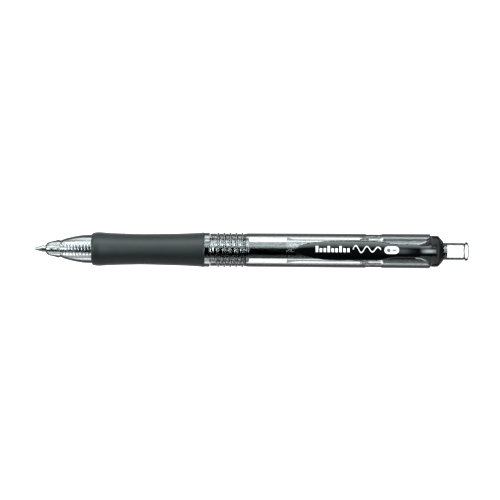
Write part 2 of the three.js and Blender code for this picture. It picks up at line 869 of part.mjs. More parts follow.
function pushButton() {
  const flange = buttonRadius + buttonFlangeHeight;
  const hollowEnd = buttonEnd - buttonEndThickness;
  const profile = [
    [hollowEnd, 0],
    [hollowEnd, buttonBore],
    [buttonStart, buttonBore],
    [buttonStart, buttonFootRadius],
    [buttonStart + buttonFootLength, buttonFootRadius],
    [buttonStart + buttonFootLength, buttonRadius],
    [buttonEnd - buttonFlangeLength, buttonRadius],
    [buttonEnd - buttonFlangeLength + buttonFlangeSlope, flange],
    [buttonEnd - buttonEdge, flange],
    [buttonEnd - buttonCrown, flange - buttonEdge],
    [buttonEnd, flange - 3 * buttonEdge],
    [buttonEnd, 0],
  ];
  return piece("push_button", turned(profile), ...clearPlastic);
}

// ---- Tail cap and clip ----

// The root of the clip on the cap: it starts as a cup round the clip's knuckle and comes down over the cap.
function clipRoot() {
  const half = clipThickness / 2;
  const cup = half + clipKnuckleGap;
  const lip = Math.sqrt(cup ** 2 - (half * clipLipShare) ** 2);
  const top = smooth(
    [
      [clipHinge + lip, clipHingeZ + half],
      [barrelEnd - saddleFront * moundFrontShare, clipHingeZ + half - moundFrontDrop],
      [capStart + moundRearInset, clipHingeZ + half - moundRearDrop],
      [capShoulder - moundCollarInset, capCollarRadius + moundCollarRise],
      [capEnd - moundEndInset, capBore + moundEndHeight],
    ],
    moundSteps,
  );
  const cupWall = [];
  const steps = 6;
  for (let i = 0; i <= steps; i++) {
    const angle = cupHalfAngle * ((2 * i) / steps - 1);
    cupWall.push([clipHinge + cup * Math.cos(angle), clipHingeZ + cup * Math.sin(angle)]);
  }
  const rootStart = barrelEnd - saddleFront + 2 * saddleGap;
  const side = [
    [clipHinge + lip, clipHingeZ - half],
    [rootStart, clipHingeZ - half],
    [rootStart, tailTubeRadius - seam],
    [capEnd - moundEndInset, capBore],
    ...top.reverse(),
    ...cupWall.slice(1, -1).reverse(),
  ];
  const neck = clipNeckHalfWidth - seam;
  const flareStart = rootStart + moundFlareInset;
  const plan = [
    [clipHinge, -neck],
    [flareStart, -neck],
    [barrelEnd, -moundHalfWidth],
    [capEnd, -moundEndHalfWidth],
    [capEnd, moundEndHalfWidth],
    [barrelEnd, moundHalfWidth],
    [flareStart, neck],
    [clipHinge, neck],
  ];
  const reach = clipHingeZ + 2 * clipThickness;
  return solid(spread(side, clipHalfWidth * 2)).intersect(solid(raised(plan, 0, reach)));
}

function tailCap() {
  const profile = [
    [tailTubeStart, tailTubeBore],
    [tailTubeStart, tailTubeRadius - softEdge],
    [tailTubeStart + leadIn, tailTubeRadius],
    [capStart, tailTubeRadius],
    [capStart, capCollarRadius - softEdge],
    [capStart + softEdge, capCollarRadius],
    [capShoulder, capCollarRadius],
    [capEnd, capBore + capNoseWall],
    [capEnd, capBore],
    [barrelEnd, capBore],
    [barrelEnd, tailTubeBore],
    [tailTubeStart, tailTubeBore],
  ];
  const bandStart = barrelEnd - saddleFront - saddleOverlap;
  const bandEnd = capStart + 2 * saddleOverlap;
  const band = ring(bandStart, bandEnd, barrelRearRadius - contactGap, tailTubeRadius - seam);
  const plan = raised(saddlePlan(saddleGap, capStart + saddleOverlap), saddleLedge + saddleGap, clipHingeZ);
  const saddle = solid(band).intersect(solid(plan));
  const core = toolCoreShare * capBore;
  const bore = ring(tailTubeStart - 1, barrelEnd, tailTubeBore, core);
  const buttonHole = ring(barrelEnd - 1, capEnd + 1, capBore, core);
  let made = solid(turned(profile)).add(saddle).add(clipRoot());
  made = made.subtract(solid(bore)).subtract(solid(buttonHole));
  return piece("tail_cap", shapeOf(made), ...blackPlastic);
}

// The clip's arm: a leaf-shaped front that narrows to a neck, thick at its knuckle, with a pad near its front
// that rests on the barrel.
function clipArm() {
  const front = clipFront;
  const noseEnd = front + clipNoseLength;
  const neckEnd = clipHinge - clipNeckLength;
  const wideEnd = neckEnd - clipTaperLength;
  const half = clipThickness / 2;
  const edge = [];
  const steps = 10;
  for (let i = 0; i <= steps; i++) {
    const angle = (Math.PI / 2) * (i / steps);
    const station = noseEnd - clipNoseLength * Math.cos(angle);
    edge.push([station, clipHalfWidth * Math.sin(angle)]);
  }
  edge.push([wideEnd, clipHalfWidth]);
  for (let i = 1; i <= 6; i++) {
    const share = i / 6;
    const blend = (1 - Math.cos(Math.PI * share)) / 2;
    const width = clipHalfWidth + (clipNeckHalfWidth - clipHalfWidth) * blend;
    edge.push([wideEnd + (neckEnd - wideEnd) * share, width]);
  }
  edge.push([clipHinge + clipThickness, clipNeckHalfWidth]);
  const plan = [...edge.map(([x, y]) => [x, -y]), ...edge.slice(1).reverse()];

  const crest = clipHingeZ + half + clipCrest;
  const rest = barrelRadius + barrelFlare / 3 + contactGap;
  const top = smooth(
    [
      [clipHinge, clipHingeZ + half],
      [clipHinge - clipRearStation, crest - clipRearDrop],
      [clipHinge - clipCrestStation, crest],
      [noseEnd - clipNoseSetback, crest - clipNoseDrop],
      [front + clipFrontStation, crest - clipFrontDrop],
      [front, crest - clipTipDrop],
    ],
    clipTopSteps,
  );
  const bottom = smooth(
    [
      [front, crest - clipTipDrop - clipTipThickness],
      [front + clipPadStation - clipPadFront, rest + clipPadRise],
      [front + clipPadStation, rest],
      [front + clipPadStation + clipPadRear, rest + clipPadRise],
      [front + clipPadStation + clipPadEnd, crest - clipArmThickness + clipPadEndDrop],
      [wideEnd, crest - clipArmThickness],
      [clipHinge, clipHingeZ - half],
    ],
    clipBottomSteps,
  );
  const knuckle = [];
  for (let i = 1; i < 6; i++) {
    const angle = -Math.PI / 2 + (Math.PI * i) / 6;
    knuckle.push([clipHinge + half * Math.cos(angle), clipHingeZ + half * Math.sin(angle)]);
  }
  const side = [...bottom, ...knuckle, ...top];
  const made = solid(spread(side, clipHalfWidth + 1)).intersect(solid(raised(plan, 0, crest + 1)));
  return piece("clip", shapeOf(made), ...blackPlastic);
}

// ---- The pen ----

const refill = new THREE.Group();
refill.add(writingBall(), writingTip(), ballSpring(), tipHolder(), refillTube());
refill.add(inkColumn(), inkFollower(), refillEndPlug());

const frontSection = new THREE.Group();
frontSection.add(frontBarrel(), rubberGrip());

const mechanism = new THREE.Group();
mechanism.add(camSleeve(), camRotor(), plunger(), pushButton());

const rearSection = new THREE.Group();
rearSection.add(rearBarrel(), tailCap(), clipArm());

const pen = new THREE.Group();
pen.add(refill, returnSpring(), frontSection, mechanism, rearSection);
pen.position.set(-buttonEnd / 2, 0, restHeight);

export default new THREE.Group().add(pen);
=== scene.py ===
import math

import bmesh
import bpy
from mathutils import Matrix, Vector
from mathutils.bvhtree import BVHTree


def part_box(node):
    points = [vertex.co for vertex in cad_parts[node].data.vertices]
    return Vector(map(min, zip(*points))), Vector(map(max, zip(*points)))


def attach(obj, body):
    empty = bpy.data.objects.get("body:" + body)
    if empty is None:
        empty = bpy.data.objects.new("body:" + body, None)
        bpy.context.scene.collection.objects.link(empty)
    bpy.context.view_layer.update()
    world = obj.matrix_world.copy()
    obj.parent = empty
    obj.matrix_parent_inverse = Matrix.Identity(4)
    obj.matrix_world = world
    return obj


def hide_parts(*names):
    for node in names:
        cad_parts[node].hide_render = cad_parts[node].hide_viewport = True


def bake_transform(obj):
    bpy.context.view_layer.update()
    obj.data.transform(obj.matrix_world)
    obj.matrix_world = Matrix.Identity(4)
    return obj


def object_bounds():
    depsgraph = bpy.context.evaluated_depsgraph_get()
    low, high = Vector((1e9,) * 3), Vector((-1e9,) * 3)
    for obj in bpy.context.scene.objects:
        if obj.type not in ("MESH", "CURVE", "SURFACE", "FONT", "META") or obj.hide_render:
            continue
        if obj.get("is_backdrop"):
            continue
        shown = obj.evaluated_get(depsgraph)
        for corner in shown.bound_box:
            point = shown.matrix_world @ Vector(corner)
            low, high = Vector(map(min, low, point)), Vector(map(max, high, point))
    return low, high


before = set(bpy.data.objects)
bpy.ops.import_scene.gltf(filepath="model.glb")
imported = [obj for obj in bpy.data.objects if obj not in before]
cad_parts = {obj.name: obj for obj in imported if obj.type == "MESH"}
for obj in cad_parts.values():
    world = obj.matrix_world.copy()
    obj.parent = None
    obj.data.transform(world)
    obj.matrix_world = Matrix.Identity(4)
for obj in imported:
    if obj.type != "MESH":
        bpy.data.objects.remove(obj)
cad_low, cad_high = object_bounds()

# ---- Writing point ----
# A carbide ball in a point turned from metal bar. The point's lip is crimped over the ball, a fine spring
# keeps the ball on its seat until it is pressed on paper, and the shank is pressed into the holder.
MM = 0.001
ROUND = 96


def span(node):
    """Where a node starts and ends, and its radius across the pen."""
    low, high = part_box(node)
    return (low.x - cad_low.x) / MM, (high.x - cad_low.x) / MM, (high.y - low.y) / 2 / MM


ball_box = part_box("writing_ball")
AXIS_Z = (ball_box[0].z + ball_box[1].z) / 2 / MM


def place(station, across, height):
    """A point of the frame, in metres, from its station, its place across the pen and its height over
    the axis."""
    return Vector((cad_low.x + station * MM, across * MM, (AXIS_Z + height) * MM))


def made(name, points, faces):
    mesh = bpy.data.meshes.new(name)
    mesh.from_pydata([place(*p) for p in points], [], faces)
    mesh.validate()
    skin = bmesh.new()
    skin.from_mesh(mesh)
    bmesh.ops.recalc_face_normals(skin, faces=skin.faces)
    skin.to_mesh(mesh)
    skin.free()
    piece = bpy.data.objects.new(name, mesh)
    bpy.context.scene.collection.objects.link(piece)
    return piece


def softened(piece, sharp=40):
    """Smooth shading, with the edges that turn more than so many degrees kept sharp."""
    piece.data.shade_smooth()
    piece.data.set_sharp_from_angle(angle=math.radians(sharp))
    return piece


def rounded(outline, radius, steps=4):
    """The outline with its corners rounded. The ends of one that doesn't close stay as they are."""
    closed = outline[0] == outline[-1]
    corners = outline[:-1] if closed else outline[1:-1]
    result = [] if closed else [outline[0]]
    for i, corner in enumerate(corners):
        if closed:
            before, after = outline[i - 1 if i else -2], outline[i + 1]
        else:
            before, after = outline[i], outline[i + 2]
        here = Vector(corner)
        back, ahead = Vector(before) - here, Vector(after) - here
        turn = math.pi - back.angle(ahead, math.pi)
        if turn < 0.3:
            result.append(tuple(corner))
            continue
        reach = min(radius * math.tan(turn / 2), 0.45 * back.length, 0.45 * ahead.length)
        start, end = here + back.normalized() * reach, here + ahead.normalized() * reach
        if back.length > 4 * reach:
            result.append(tuple(here + back.normalized() * 1.6 * reach))
        for step in range(steps + 1):
            t = step / steps
            result.append(tuple(start * (1 - t) ** 2 + here * 2 * t * (1 - t) + end * t * t))
        if ahead.length > 4 * reach:
            result.append(tuple(here + ahead.normalized() * 1.6 * reach))
    result.append(result[0] if closed else outline[-1])
    return result


def turned(name, outline, shape=None, sides=ROUND):
    """A skin turned from an outline of stations and radii, which closes on itself or starts and ends on the
    axis. shape gives each point's own station and radius at each angle, as a thread or a crown needs."""
    closed = outline[0] == outline[-1]
    line = outline[:-1] if closed else outline
    points, rings = [], []
    for station, radius in line:
        if radius == 0:
            rings.append([len(points)] * sides)
            points.append((station, 0, 0))
            continue
        rings.append(range(len(points), len(points) + sides))
        for k in range(sides):
            angle = 2 * math.pi * k / sides
            along, out = shape(station, radius, angle) if shape else (station, radius)
            points.append((along, out * math.cos(angle), out * math.sin(angle)))
    faces = []
    for i in range(len(rings) if closed else len(rings) - 1):
        near, far = rings[i], rings[(i + 1) % len(rings)]
        for k in range(sides):
            m = (k + 1) % sides
            face = [near[k], far[k], far[m], near[m]]
            faces.append([v for j, v in enumerate(face) if v != face[j - 1]])
    return softened(made(name, points, faces))


def lofted(name, *lofts):
    """A piece of one or more skins through rings of points, each skin closed at both ends."""
    points, faces = [], []
    for rings in lofts:
        size = len(rings[0])
        faces.append([len(points) + k for k in range(size)])
        for i, ring in enumerate(rings):
            first = len(points)
            points += ring
            for k in range(size if i < len(rings) - 1 else 0):
                m = (k + 1) % size
                faces.append([first + k, first + m, first + size + m, first + size + k])
        faces.append([len(points) - 1 - k for k in range(size)])
    return made(name, points, faces)


def wire(name, path, radius, sides=12):
    """A round wire along a path that winds about the pen's axis or runs beside it, with flat ends."""
    rings = []
    for i, (station, across, height) in enumerate(path):
        ahead = Vector(path[min(i + 1, len(path) - 1)]) - Vector(path[max(i - 1, 0)])
        side = ahead.cross(Vector((0, across, height)).normalized()).normalized()
        up = side.cross(ahead).normalized()
        ring = []
        for k in range(sides):
            angle = 2 * math.pi * k / sides
            out = radius * (math.cos(angle) * up + math.sin(angle) * side)
            ring.append(tuple(Vector((station, across, height)) + out))
        rings.append(ring)
    return softened(lofted(name, rings), 60)


def dress(piece, material, body, cad):
    """Gives a piece its material and the body that it moves with, and hides the node that it stands for."""
    piece.data.materials.append(material)
    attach(piece, body)
    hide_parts(cad)


def feed(tree, socket, value):
    """Links a socket to another node's output, or gives it a plain value."""
    if isinstance(value, bpy.types.NodeSocket):
        tree.links.new(value, socket)
    else:
        socket.default_value = value


def node(tree, kind, *values, **named):
    """A node. Each named value goes to the setting or the input of that name, with _ for a space, and the
    values without a name go to its inputs in their order."""
    new = tree.nodes.new(kind)
    for key, value in named.items():
        if hasattr(new, key):
            setattr(new, key, value)
        else:
            feed(tree, new.inputs[key.replace("_", " ")], value)
    for socket, value in zip(new.inputs, values):
        feed(tree, socket, value)
    return new


def maths(tree, operation, *values):
    return node(tree, "ShaderNodeMath", *values, operation=operation).outputs[0]


def effect(name, inputs, outputs):
    """A node group with named inputs and outputs. Returns it, what it is given and what it puts out."""
    group = bpy.data.node_groups.new(name, "ShaderNodeTree")
    for label, value in inputs.items():
        group.interface.new_socket(label, in_out="INPUT", socket_type="NodeSocketFloat").default_value = value
    for label in outputs:
        group.interface.new_socket(label, in_out="OUTPUT", socket_type="NodeSocketFloat")
    return group, group.nodes.new("NodeGroupInput").outputs, group.nodes.new("NodeGroupOutput").inputs


def finish_of(name, colour, roughness, metallic=0.0, **sockets):
    """A material with one Principled BSDF, and its node tree and shader."""
    material = bpy.data.materials.new(name)
    material.use_nodes = True
    material.diffuse_color = (*colour, 1)
    shader = material.node_tree.nodes["Principled BSDF"]
    shader.inputs["Base Color"].default_value = (*colour, 1)
    shader.inputs["Roughness"].default_value = roughness
    shader.inputs["Metallic"].default_value = metallic
    for key, value in sockets.items():
        shader.inputs[key.replace("_", " ")].default_value = value
    return material, material.node_tree, shader


def bumped(tree, shader, height, strength, distance):
    bump = node(tree, "ShaderNodeBump", Height=height, Strength=strength, Distance=distance)
    feed(tree, shader.inputs["Normal"], bump.outputs[0])


# Fine marks that a lathe or a drawing die leaves: rings of uneven depth, one after another along the pen.
MARK_GLOSS = 0.12
marks, given, result = effect(
    "tool_marks", {"Spacing": 0.00008, "Depth": 0.3, "Smooth": 0.2}, ("Roughness", "Height")
)
spot = node(marks, "ShaderNodeTexCoord").outputs["Object"]
along = node(marks, "ShaderNodeSeparateXYZ", spot).outputs["X"]
scaled = maths(marks, "DIVIDE", along, given["Spacing"])
rings = node(marks, "ShaderNodeTexNoise", noise_dimensions="1D", W=scaled, Scale=1.0, Detail=3.0)
rings = rings.outputs["Fac"]
feed(marks, result["Roughness"], maths(marks, "MULTIPLY_ADD", rings, MARK_GLOSS, given["Smooth"]))
feed(marks, result["Height"], maths(marks, "MULTIPLY", rings, given["Depth"]))


def tooled(tree, shader, spacing, depth, smooth, distance=0.000004):
    """Puts the tool marks into a metal's roughness and its bump."""
    group = node(tree, "ShaderNodeGroup", node_tree=marks, Spacing=spacing, Depth=depth, Smooth=smooth)
    feed(tree, shader.inputs["Roughness"], group.outputs["Roughness"])
    bumped(tree, shader, group.outputs["Height"], 0.5, distance)


tip_metal, tree, shader = finish_of("turned_nickel_silver", (0.34, 0.325, 0.31), 0.18, 1.0)
tooled(tree, shader, 0.00009, 0.5, 0.2)
carbide, tree, shader = finish_of("ground_carbide", (0.42, 0.43, 0.45), 0.12, 1.0)
tooled(tree, shader, 0.00002, 0.2, 0.1, 0.000001)
spring_wire, tree, shader = finish_of("drawn_spring_wire", (0.8, 0.81, 0.83), 0.16, 1.0)
tooled(tree, shader, 0.00012, 0.4, 0.12)

BALL = 0.25
SOCKET_GAP = 0.02
LIP = 0.16
CRIMP = 0.04
TIP_RADIUS = span("writing_tip")[2]
TIP_END = span("writing_tip")[1]
NECK_START = span("tip_holder")[0]
SHANK = 1.0
INK_CHANNEL = 0.35
FEED_HOLE = 0.13

arc = [(BALL - BALL * math.cos(math.pi * k / 24), BALL * math.sin(math.pi * k / 24)) for k in range(1, 24)]
ball = turned("ball", [(0, 0), *arc, (2 * BALL, 0)], sides=48)

socket = BALL + SOCKET_GAP
lip_hole = math.sqrt(BALL**2 - (BALL - LIP) ** 2) + SOCKET_GAP / 2
first, last = math.asin(FEED_HOLE / socket), math.acos((CRIMP + LIP - BALL) / socket)
seat = []
for k in range(13):
    angle = first + (last - first) * k / 12
    seat.append((BALL + socket * math.cos(angle), socket * math.sin(angle)))
seat_start = seat[0][0]
point_outline = [
    (LIP, lip_hole),
    (LIP, lip_hole + 0.06),
    (0.45, 0.44),
    (2.25, TIP_RADIUS - 0.13),
    (2.9, TIP_RADIUS),
    (NECK_START - 0.1, TIP_RADIUS),
    (NECK_START - 0.1, SHANK),
    (TIP_END, SHANK),
    (TIP_END, INK_CHANNEL),
    (seat_start + 0.8, INK_CHANNEL),
    (seat_start + 0.5, FEED_HOLE),
    *seat,
    (LIP, lip_hole),
]
point = turned("point", rounded(point_outline, 0.06, 3))

# The ball's spring starts as a straight rod behind the ball and widens into a coil.
ROD = 2.6
COIL = 5.5
COIL_RADIUS = 0.25
COIL_TURNS = 9
TURN_STEPS = 24
path = [(2 * BALL + 0.05, 0, 0.0001), (2 * BALL + ROD - 0.2, 0, 0.0001)]
for k in range(COIL_TURNS * TURN_STEPS + 1):
    share = k / (COIL_TURNS * TURN_STEPS)
    angle = 2 * math.pi * COIL_TURNS * share
    out = COIL_RADIUS * min(1, 0.05 + 10 * share)
    path.append((2 * BALL + ROD + COIL * share, out * math.cos(angle), out * math.sin(angle)))
ball_spring = wire("ball_spring_wire", path, 0.05, 8)

dress(ball, carbide, "ball", "writing_ball")
dress(point, tip_metal, "refill", "writing_tip")
dress(ball_spring, spring_wire, "refill", "ball_spring")

# ---- Refill ----
# A clear extruded tube of black gel. A translucent moulded holder carries the point and plugs the tube's
# front, pale grease follows the ink, and a vented black plug closes the rear, where the click rotor pushes.


def moulded(tree, shader, size, distance, strength=0.4):
    """A slight unevenness of the skin, as plastic has where it shrinks in the mould."""
    spot = node(tree, "ShaderNodeTexCoord").outputs
    noise = node(tree, "ShaderNodeTexNoise", Vector=spot["Object"], Scale=1 / size, Detail=2.0).outputs["Fac"]
    bumped(tree, shader, noise, strength, distance)
    return spot, noise


def vectors(tree, operation, *values):
    return node(tree, "ShaderNodeVectorMath", *values, operation=operation).outputs


def ranged(tree, value, *limits):
    """The value taken from one range to another: the first range's ends, then the second's, or 0 and 1."""
    return node(tree, "ShaderNodeMapRange", value, *limits).outputs[0]


def mixed(tree, share, first, second):
    mix = node(tree, "ShaderNodeMix", data_type="RGBA", Factor=share)
    feed(tree, mix.inputs[6], (*first, 1))
    feed(tree, mix.inputs[7], (*second, 1))
    return mix.outputs[2]


def clear(name, tint, density, roughness, ior, rim_shade, starts=0.3, ends=0.42):
    """A clear plastic that darkens with its thickness. Its outer skin, the faces that look away from the
    pen's axis, carries painted shade: its colour darkens towards its rims, where it is seen along the skin."""
    material, tree, shader = finish_of(name, (1, 1, 1), roughness, IOR=ior, Transmission_Weight=1.0)
    spot = moulded(tree, shader, 0.006, 0.000002, 0.15)[0]
    from_axis = vectors(tree, "SUBTRACT", spot["Object"], (0, 0, AXIS_Z * MM))[0]
    radial = vectors(tree, "MULTIPLY", from_axis, (0, 1, 1))[0]
    outward = vectors(tree, "DOT_PRODUCT", radial, spot["Normal"])["Value"]
    sign = ranged(tree, node(tree, "ShaderNodeNewGeometry").outputs["Backfacing"], 0, 1, 1, -1)
    skin = maths(tree, "GREATER_THAN", maths(tree, "MULTIPLY", outward, sign), 0.0)
    # Painted shade: the outer skin's colour goes from white to the rim's grey or black as it is seen more
    # along the skin.
    rim_shade_share = ranged(tree, node(tree, "ShaderNodeLayerWeight", Blend=0.5).outputs["Facing"], starts, ends)
    shade = mixed(tree, maths(tree, "MULTIPLY", rim_shade_share, skin), (1, 1, 1), (rim_shade, rim_shade * 1.06, rim_shade * 1.03))
    depth = node(tree, "ShaderNodeVolumeAbsorption", Color=(*tint, 1), Density=density)
    feed(tree, shader.inputs["Base Color"], shade)
    feed(tree, tree.nodes["Material Output"].inputs["Volume"], depth.outputs[0])
    return material


tube_clear = clear("tube_plastic", (0.7, 0.72, 0.72), 60, 0.03, ior=1.5, rim_shade=0.5)
holder_plastic, tree, shader = finish_of(
    "holder_plastic", (0.78, 0.8, 0.8), 0.12, IOR=1.49, Transmission_Weight=0.95
)
moulded(tree, shader, 0.0015, 0.000008)
ink_black, tree, shader = finish_of("black_gel", (0.004, 0.004, 0.005), 0.12, IOR=1.4, Coat_Weight=0.3)
moulded(tree, shader, 0.002, 0.00001)
grease, tree, shader = finish_of(
    "follower_grease", (0.88, 0.84, 0.68), 0.1, IOR=1.45, Transmission_Weight=0.6, Subsurface_Weight=0.2
)
moulded(tree, shader, 0.001, 0.00002)
plug_black, tree, shader = finish_of("plug_black", (0.02, 0.02, 0.022), 0.4)
moulded(tree, shader, 0.0008, 0.00001)

HOLDER_START, HOLDER_END, _ = span("tip_holder")
TUBE_START, TUBE_END, TUBE_RADIUS = span("refill_tube")
INK_START, INK_END, INK_RADIUS = span("ink_column")
SPRING_START, SPRING_END, SPRING_RADIUS = span("return_spring")
TUBE_BORE = TUBE_RADIUS - 0.4
NECK = 1.5
HOLDER = 2.3
HOLDER_BORE = 0.8
HOLDER_FLANGE = 1.0
TUBE_GAP = 0.1

flange_start = TUBE_START - TUBE_GAP - HOLDER_FLANGE
shoulder = SPRING_END + 0.05
holder_outline = [
    (HOLDER_START, SHANK + 0.05),
    (HOLDER_START, NECK - 0.15),
    (HOLDER_START + 0.4, NECK),
    (shoulder, NECK),
    (shoulder, HOLDER),
    (flange_start, HOLDER),
    (flange_start, TUBE_RADIUS - 0.05),
    (TUBE_START - TUBE_GAP, TUBE_RADIUS - 0.05),
    (TUBE_START - TUBE_GAP, TUBE_BORE - 0.05),
    (HOLDER_END, TUBE_BORE - 0.05),
    (HOLDER_END, HOLDER_BORE),
    (TIP_END + 0.1, HOLDER_BORE),
    (TIP_END + 0.1, SHANK + 0.05),
    (HOLDER_START, SHANK + 0.05),
]
holder = turned("holder", rounded(holder_outline, 0.12))
dress(holder, holder_plastic, "refill", "tip_holder")

tube_outline = [
    (TUBE_START, TUBE_BORE),
    (TUBE_START, TUBE_RADIUS),
    (TUBE_END, TUBE_RADIUS),
    (TUBE_END, TUBE_BORE),
    (TUBE_START, TUBE_BORE),
]
tube = turned("tube", rounded(tube_outline, 0.1))
dress(tube, tube_clear, "refill", "refill_tube")

WET = 0.01
FEED = HOLDER_BORE + WET
INK = TUBE_BORE + WET
ink_outline = [
    (INK_START, 0),
    (INK_START, FEED),
    (HOLDER_END + 0.1, FEED),
    (HOLDER_END + 0.1, INK),
    (INK_END - 0.5, INK),
    (INK_END, INK * 0.8),
    (INK_END, 0),
]
ink = turned("ink", rounded(ink_outline, 0.3))
dress(ink, ink_black, "refill", "ink_column")

FOLLOWER_START, FOLLOWER_END, _ = span("ink_follower")
DISH = 0.4
follower_outline = [(FOLLOWER_START, 0), (FOLLOWER_START, INK_RADIUS), (FOLLOWER_END, INK_RADIUS)]
for k in range(1, 6):
    inward = k / 6
    follower_outline.append((FOLLOWER_END - DISH * math.sin(inward * math.pi / 2), INK_RADIUS * (1 - inward)))
follower_outline.append((FOLLOWER_END - DISH, 0))
follower = turned("follower", rounded(follower_outline, 0.15))
dress(follower, grease, "refill", "ink_follower")

PLUG_START, PLUG_END, PLUG_RADIUS = span("refill_end_plug")
PLUG_HEAD = 0.7
VENT = 0.5
plug_outline = [
    (PLUG_START, VENT),
    (PLUG_START, INK_RADIUS - 0.2),
    (PLUG_START + 0.5, INK_RADIUS),
    (PLUG_END - PLUG_HEAD, INK_RADIUS),
    (PLUG_END - PLUG_HEAD, PLUG_RADIUS),
    (PLUG_END, PLUG_RADIUS),
    (PLUG_END, VENT),
    (PLUG_START, VENT),
]
plug = turned("end_plug", rounded(plug_outline, 0.12))
dress(plug, plug_black, "refill", "refill_end_plug")

# ---- Return spring ----
# A coil of drawn steel wire round the holder's neck, its end turns closed. It stands between the nose and
# the holder's shoulder and pushes the refill back. Here the coil is built at one length and is not attached
# to a body.
WIRE = 0.19
TURNS = 18
STEPS = 40

mean = SPRING_RADIUS - WIRE
first, last = SPRING_START + WIRE, SPRING_END - WIRE
closed_pitch = 2 * WIRE + 0.04
open_pitch = (last - first - 2 * closed_pitch) / (TURNS - 2)
path = []
for k in range(TURNS * STEPS + 1):
    turn = k / STEPS
    along = min(turn, 1) * closed_pitch + max(turn - TURNS + 1, 0) * closed_pitch
    along += min(max(turn - 1, 0), TURNS - 2) * open_pitch
    path.append((first + along, mean * math.cos(2 * math.pi * turn), mean * math.sin(2 * math.pi * turn)))
spring = wire("return_spring_wire", path, WIRE, 12)
spring.data.materials.append(spring_wire)
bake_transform(spring)
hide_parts("return_spring")

# ---- Front section ----
# One clear moulding from the nose to the threaded spigot. Its nose has a fine ring and a groove, its long
# seat is covered by the grip, and a collar stands between the grip and the barrel that it screws into.
front_clear = clear("front_plastic", (0.62, 0.65, 0.66), 300, 0.0, ior=1.57, rim_shade=0, starts=0.2)

NOSE, SPIGOT_END, COLLAR_RADIUS = span("front_barrel")
GRIP_START, GRIP_END, GRIP_RADIUS = span("rubber_grip")
BARREL_START, BARREL_END, BARREL_RADIUS = span("rear_barrel")
NOSE_BORE = TIP_RADIUS + 0.17
CHAMBER = SPRING_RADIUS + 0.3
CHAMBER_START = SPRING_START - 0.05
CHAMBER_END = flange_start - 1.3
FRONT_BORE = TUBE_RADIUS + 0.2
SEAT = FRONT_BORE + 1.2
SPIGOT = 4.1
PITCH = 2.0
THREAD_TURNS = 5
THREAD_HEIGHT = 0.45
THREAD_ROOT = 1.0
THREAD_CREST = 0.6
THREAD_FADE = 0.8
THREAD_START = BARREL_START + 1.1
THREAD_STEP = 0.1
THREAD_SIDES = 144


def curved(points, steps=6):
    """A smooth line through a few points."""
    line = []
    for i in range(len(points) - 1):
        a, b = Vector(points[max(i - 1, 0)]), Vector(points[i])
        c, d = Vector(points[i + 1]), Vector(points[min(i + 2, len(points) - 1)])
        for k in range(steps):
            t = k / steps
            line.append(tuple(0.5 * (2 * b + (c - a) * t + (2 * a - 5 * b + 4 * c - d) * t**2
                                     + (3 * b - a - 3 * c + d) * t**3)))
    return [*line, tuple(points[-1])]


def eased(value):
    value = min(max(value, 0), 1)
    return value * value * (3 - 2 * value)


def threaded(radius, growth, first, last):
    """A shape that adds a thread's ridge to a cylinder of this radius, and lets it fade out at its ends."""

    def shape(station, out, angle):
        if abs(out - radius) > 0.01:
            return station, out
        phase = (station - THREAD_START) / PITCH - angle / (2 * math.pi)
        apart = abs(phase - round(phase)) * PITCH
        flank = (THREAD_ROOT - THREAD_CREST) / 2
        share = (THREAD_ROOT / 2 + growth - apart) / flank
        fade = eased((station - first) / THREAD_FADE) * eased((last - station) / THREAD_FADE)
        return station, out + (THREAD_HEIGHT + growth) * min(max(share, 0), 1) * fade

    return shape


def stretch(first, last, radius):
    """Points along a cylinder, close enough together to carry a thread."""
    count = round(abs(last - first) / THREAD_STEP)
    return [(first + (last - first) * k / count, radius) for k in range(count + 1)]


lip = NOSE_BORE + 0.15
nose = curved(
    [
        (NOSE + 0.1, lip + 0.12),
        (NOSE + 0.6, lip + 0.62),
        (NOSE + 1.5, lip + 0.98),
        (NOSE + 2.6, lip + 1.2),
        (NOSE + 4.0, lip + 1.6),
        (NOSE + 4.35, lip + 1.66),
        (NOSE + 4.7, lip + 1.5),
        (NOSE + 4.95, lip + 1.41),
        (NOSE + 5.3, lip + 1.56),
        (NOSE + 6.5, lip + 2.05),
        (NOSE + 9.2, lip + 2.75),
        (NOSE + 12.2, lip + 3.28),
        (GRIP_START - 0.05, lip + 3.46),
    ],
    5,
)
thread_end = THREAD_START + THREAD_TURNS * PITCH
collar_start = GRIP_END + 0.05
seat = [nose[-1], (GRIP_START - 0.05, SEAT), (collar_start, SEAT), (collar_start, COLLAR_RADIUS - 0.1)]
front_outline = [
    (NOSE, NOSE_BORE),
    (NOSE, lip),
    *nose,
    *rounded(seat, 0.15)[1:-1],
    (collar_start, COLLAR_RADIUS - 0.12),
    (GRIP_END + 0.1, COLLAR_RADIUS - 0.03),
    (GRIP_END + 0.25, COLLAR_RADIUS),
    (BARREL_START - 0.35, COLLAR_RADIUS),
    (BARREL_START - 0.17, COLLAR_RADIUS - 0.03),
    (BARREL_START - 0.1, COLLAR_RADIUS - 0.12),
    (BARREL_START - 0.1, SPIGOT + 0.1),
    *stretch(BARREL_START, SPIGOT_END - 0.5, SPIGOT),
    (SPIGOT_END - 0.15, SPIGOT - 0.12),
    (SPIGOT_END, SPIGOT - 0.3),
    (SPIGOT_END, FRONT_BORE + 0.1),
    (SPIGOT_END - 0.1, FRONT_BORE),
    (CHAMBER_END + 0.1, FRONT_BORE),
    (CHAMBER_END, FRONT_BORE - 0.1),
    (CHAMBER_END, CHAMBER + 0.1),
    (CHAMBER_END - 0.1, CHAMBER),
    (CHAMBER_START + 0.2, CHAMBER),
    (CHAMBER_START, CHAMBER - 0.2),
    (CHAMBER_START, NOSE_BORE),
    (NOSE, NOSE_BORE),
]
screw = threaded(SPIGOT, 0, BARREL_START + 0.6, thread_end + 0.6)
front = turned("front_moulding", front_outline, screw, THREAD_SIDES)
dress(front, front_clear, "front", "front_barrel")

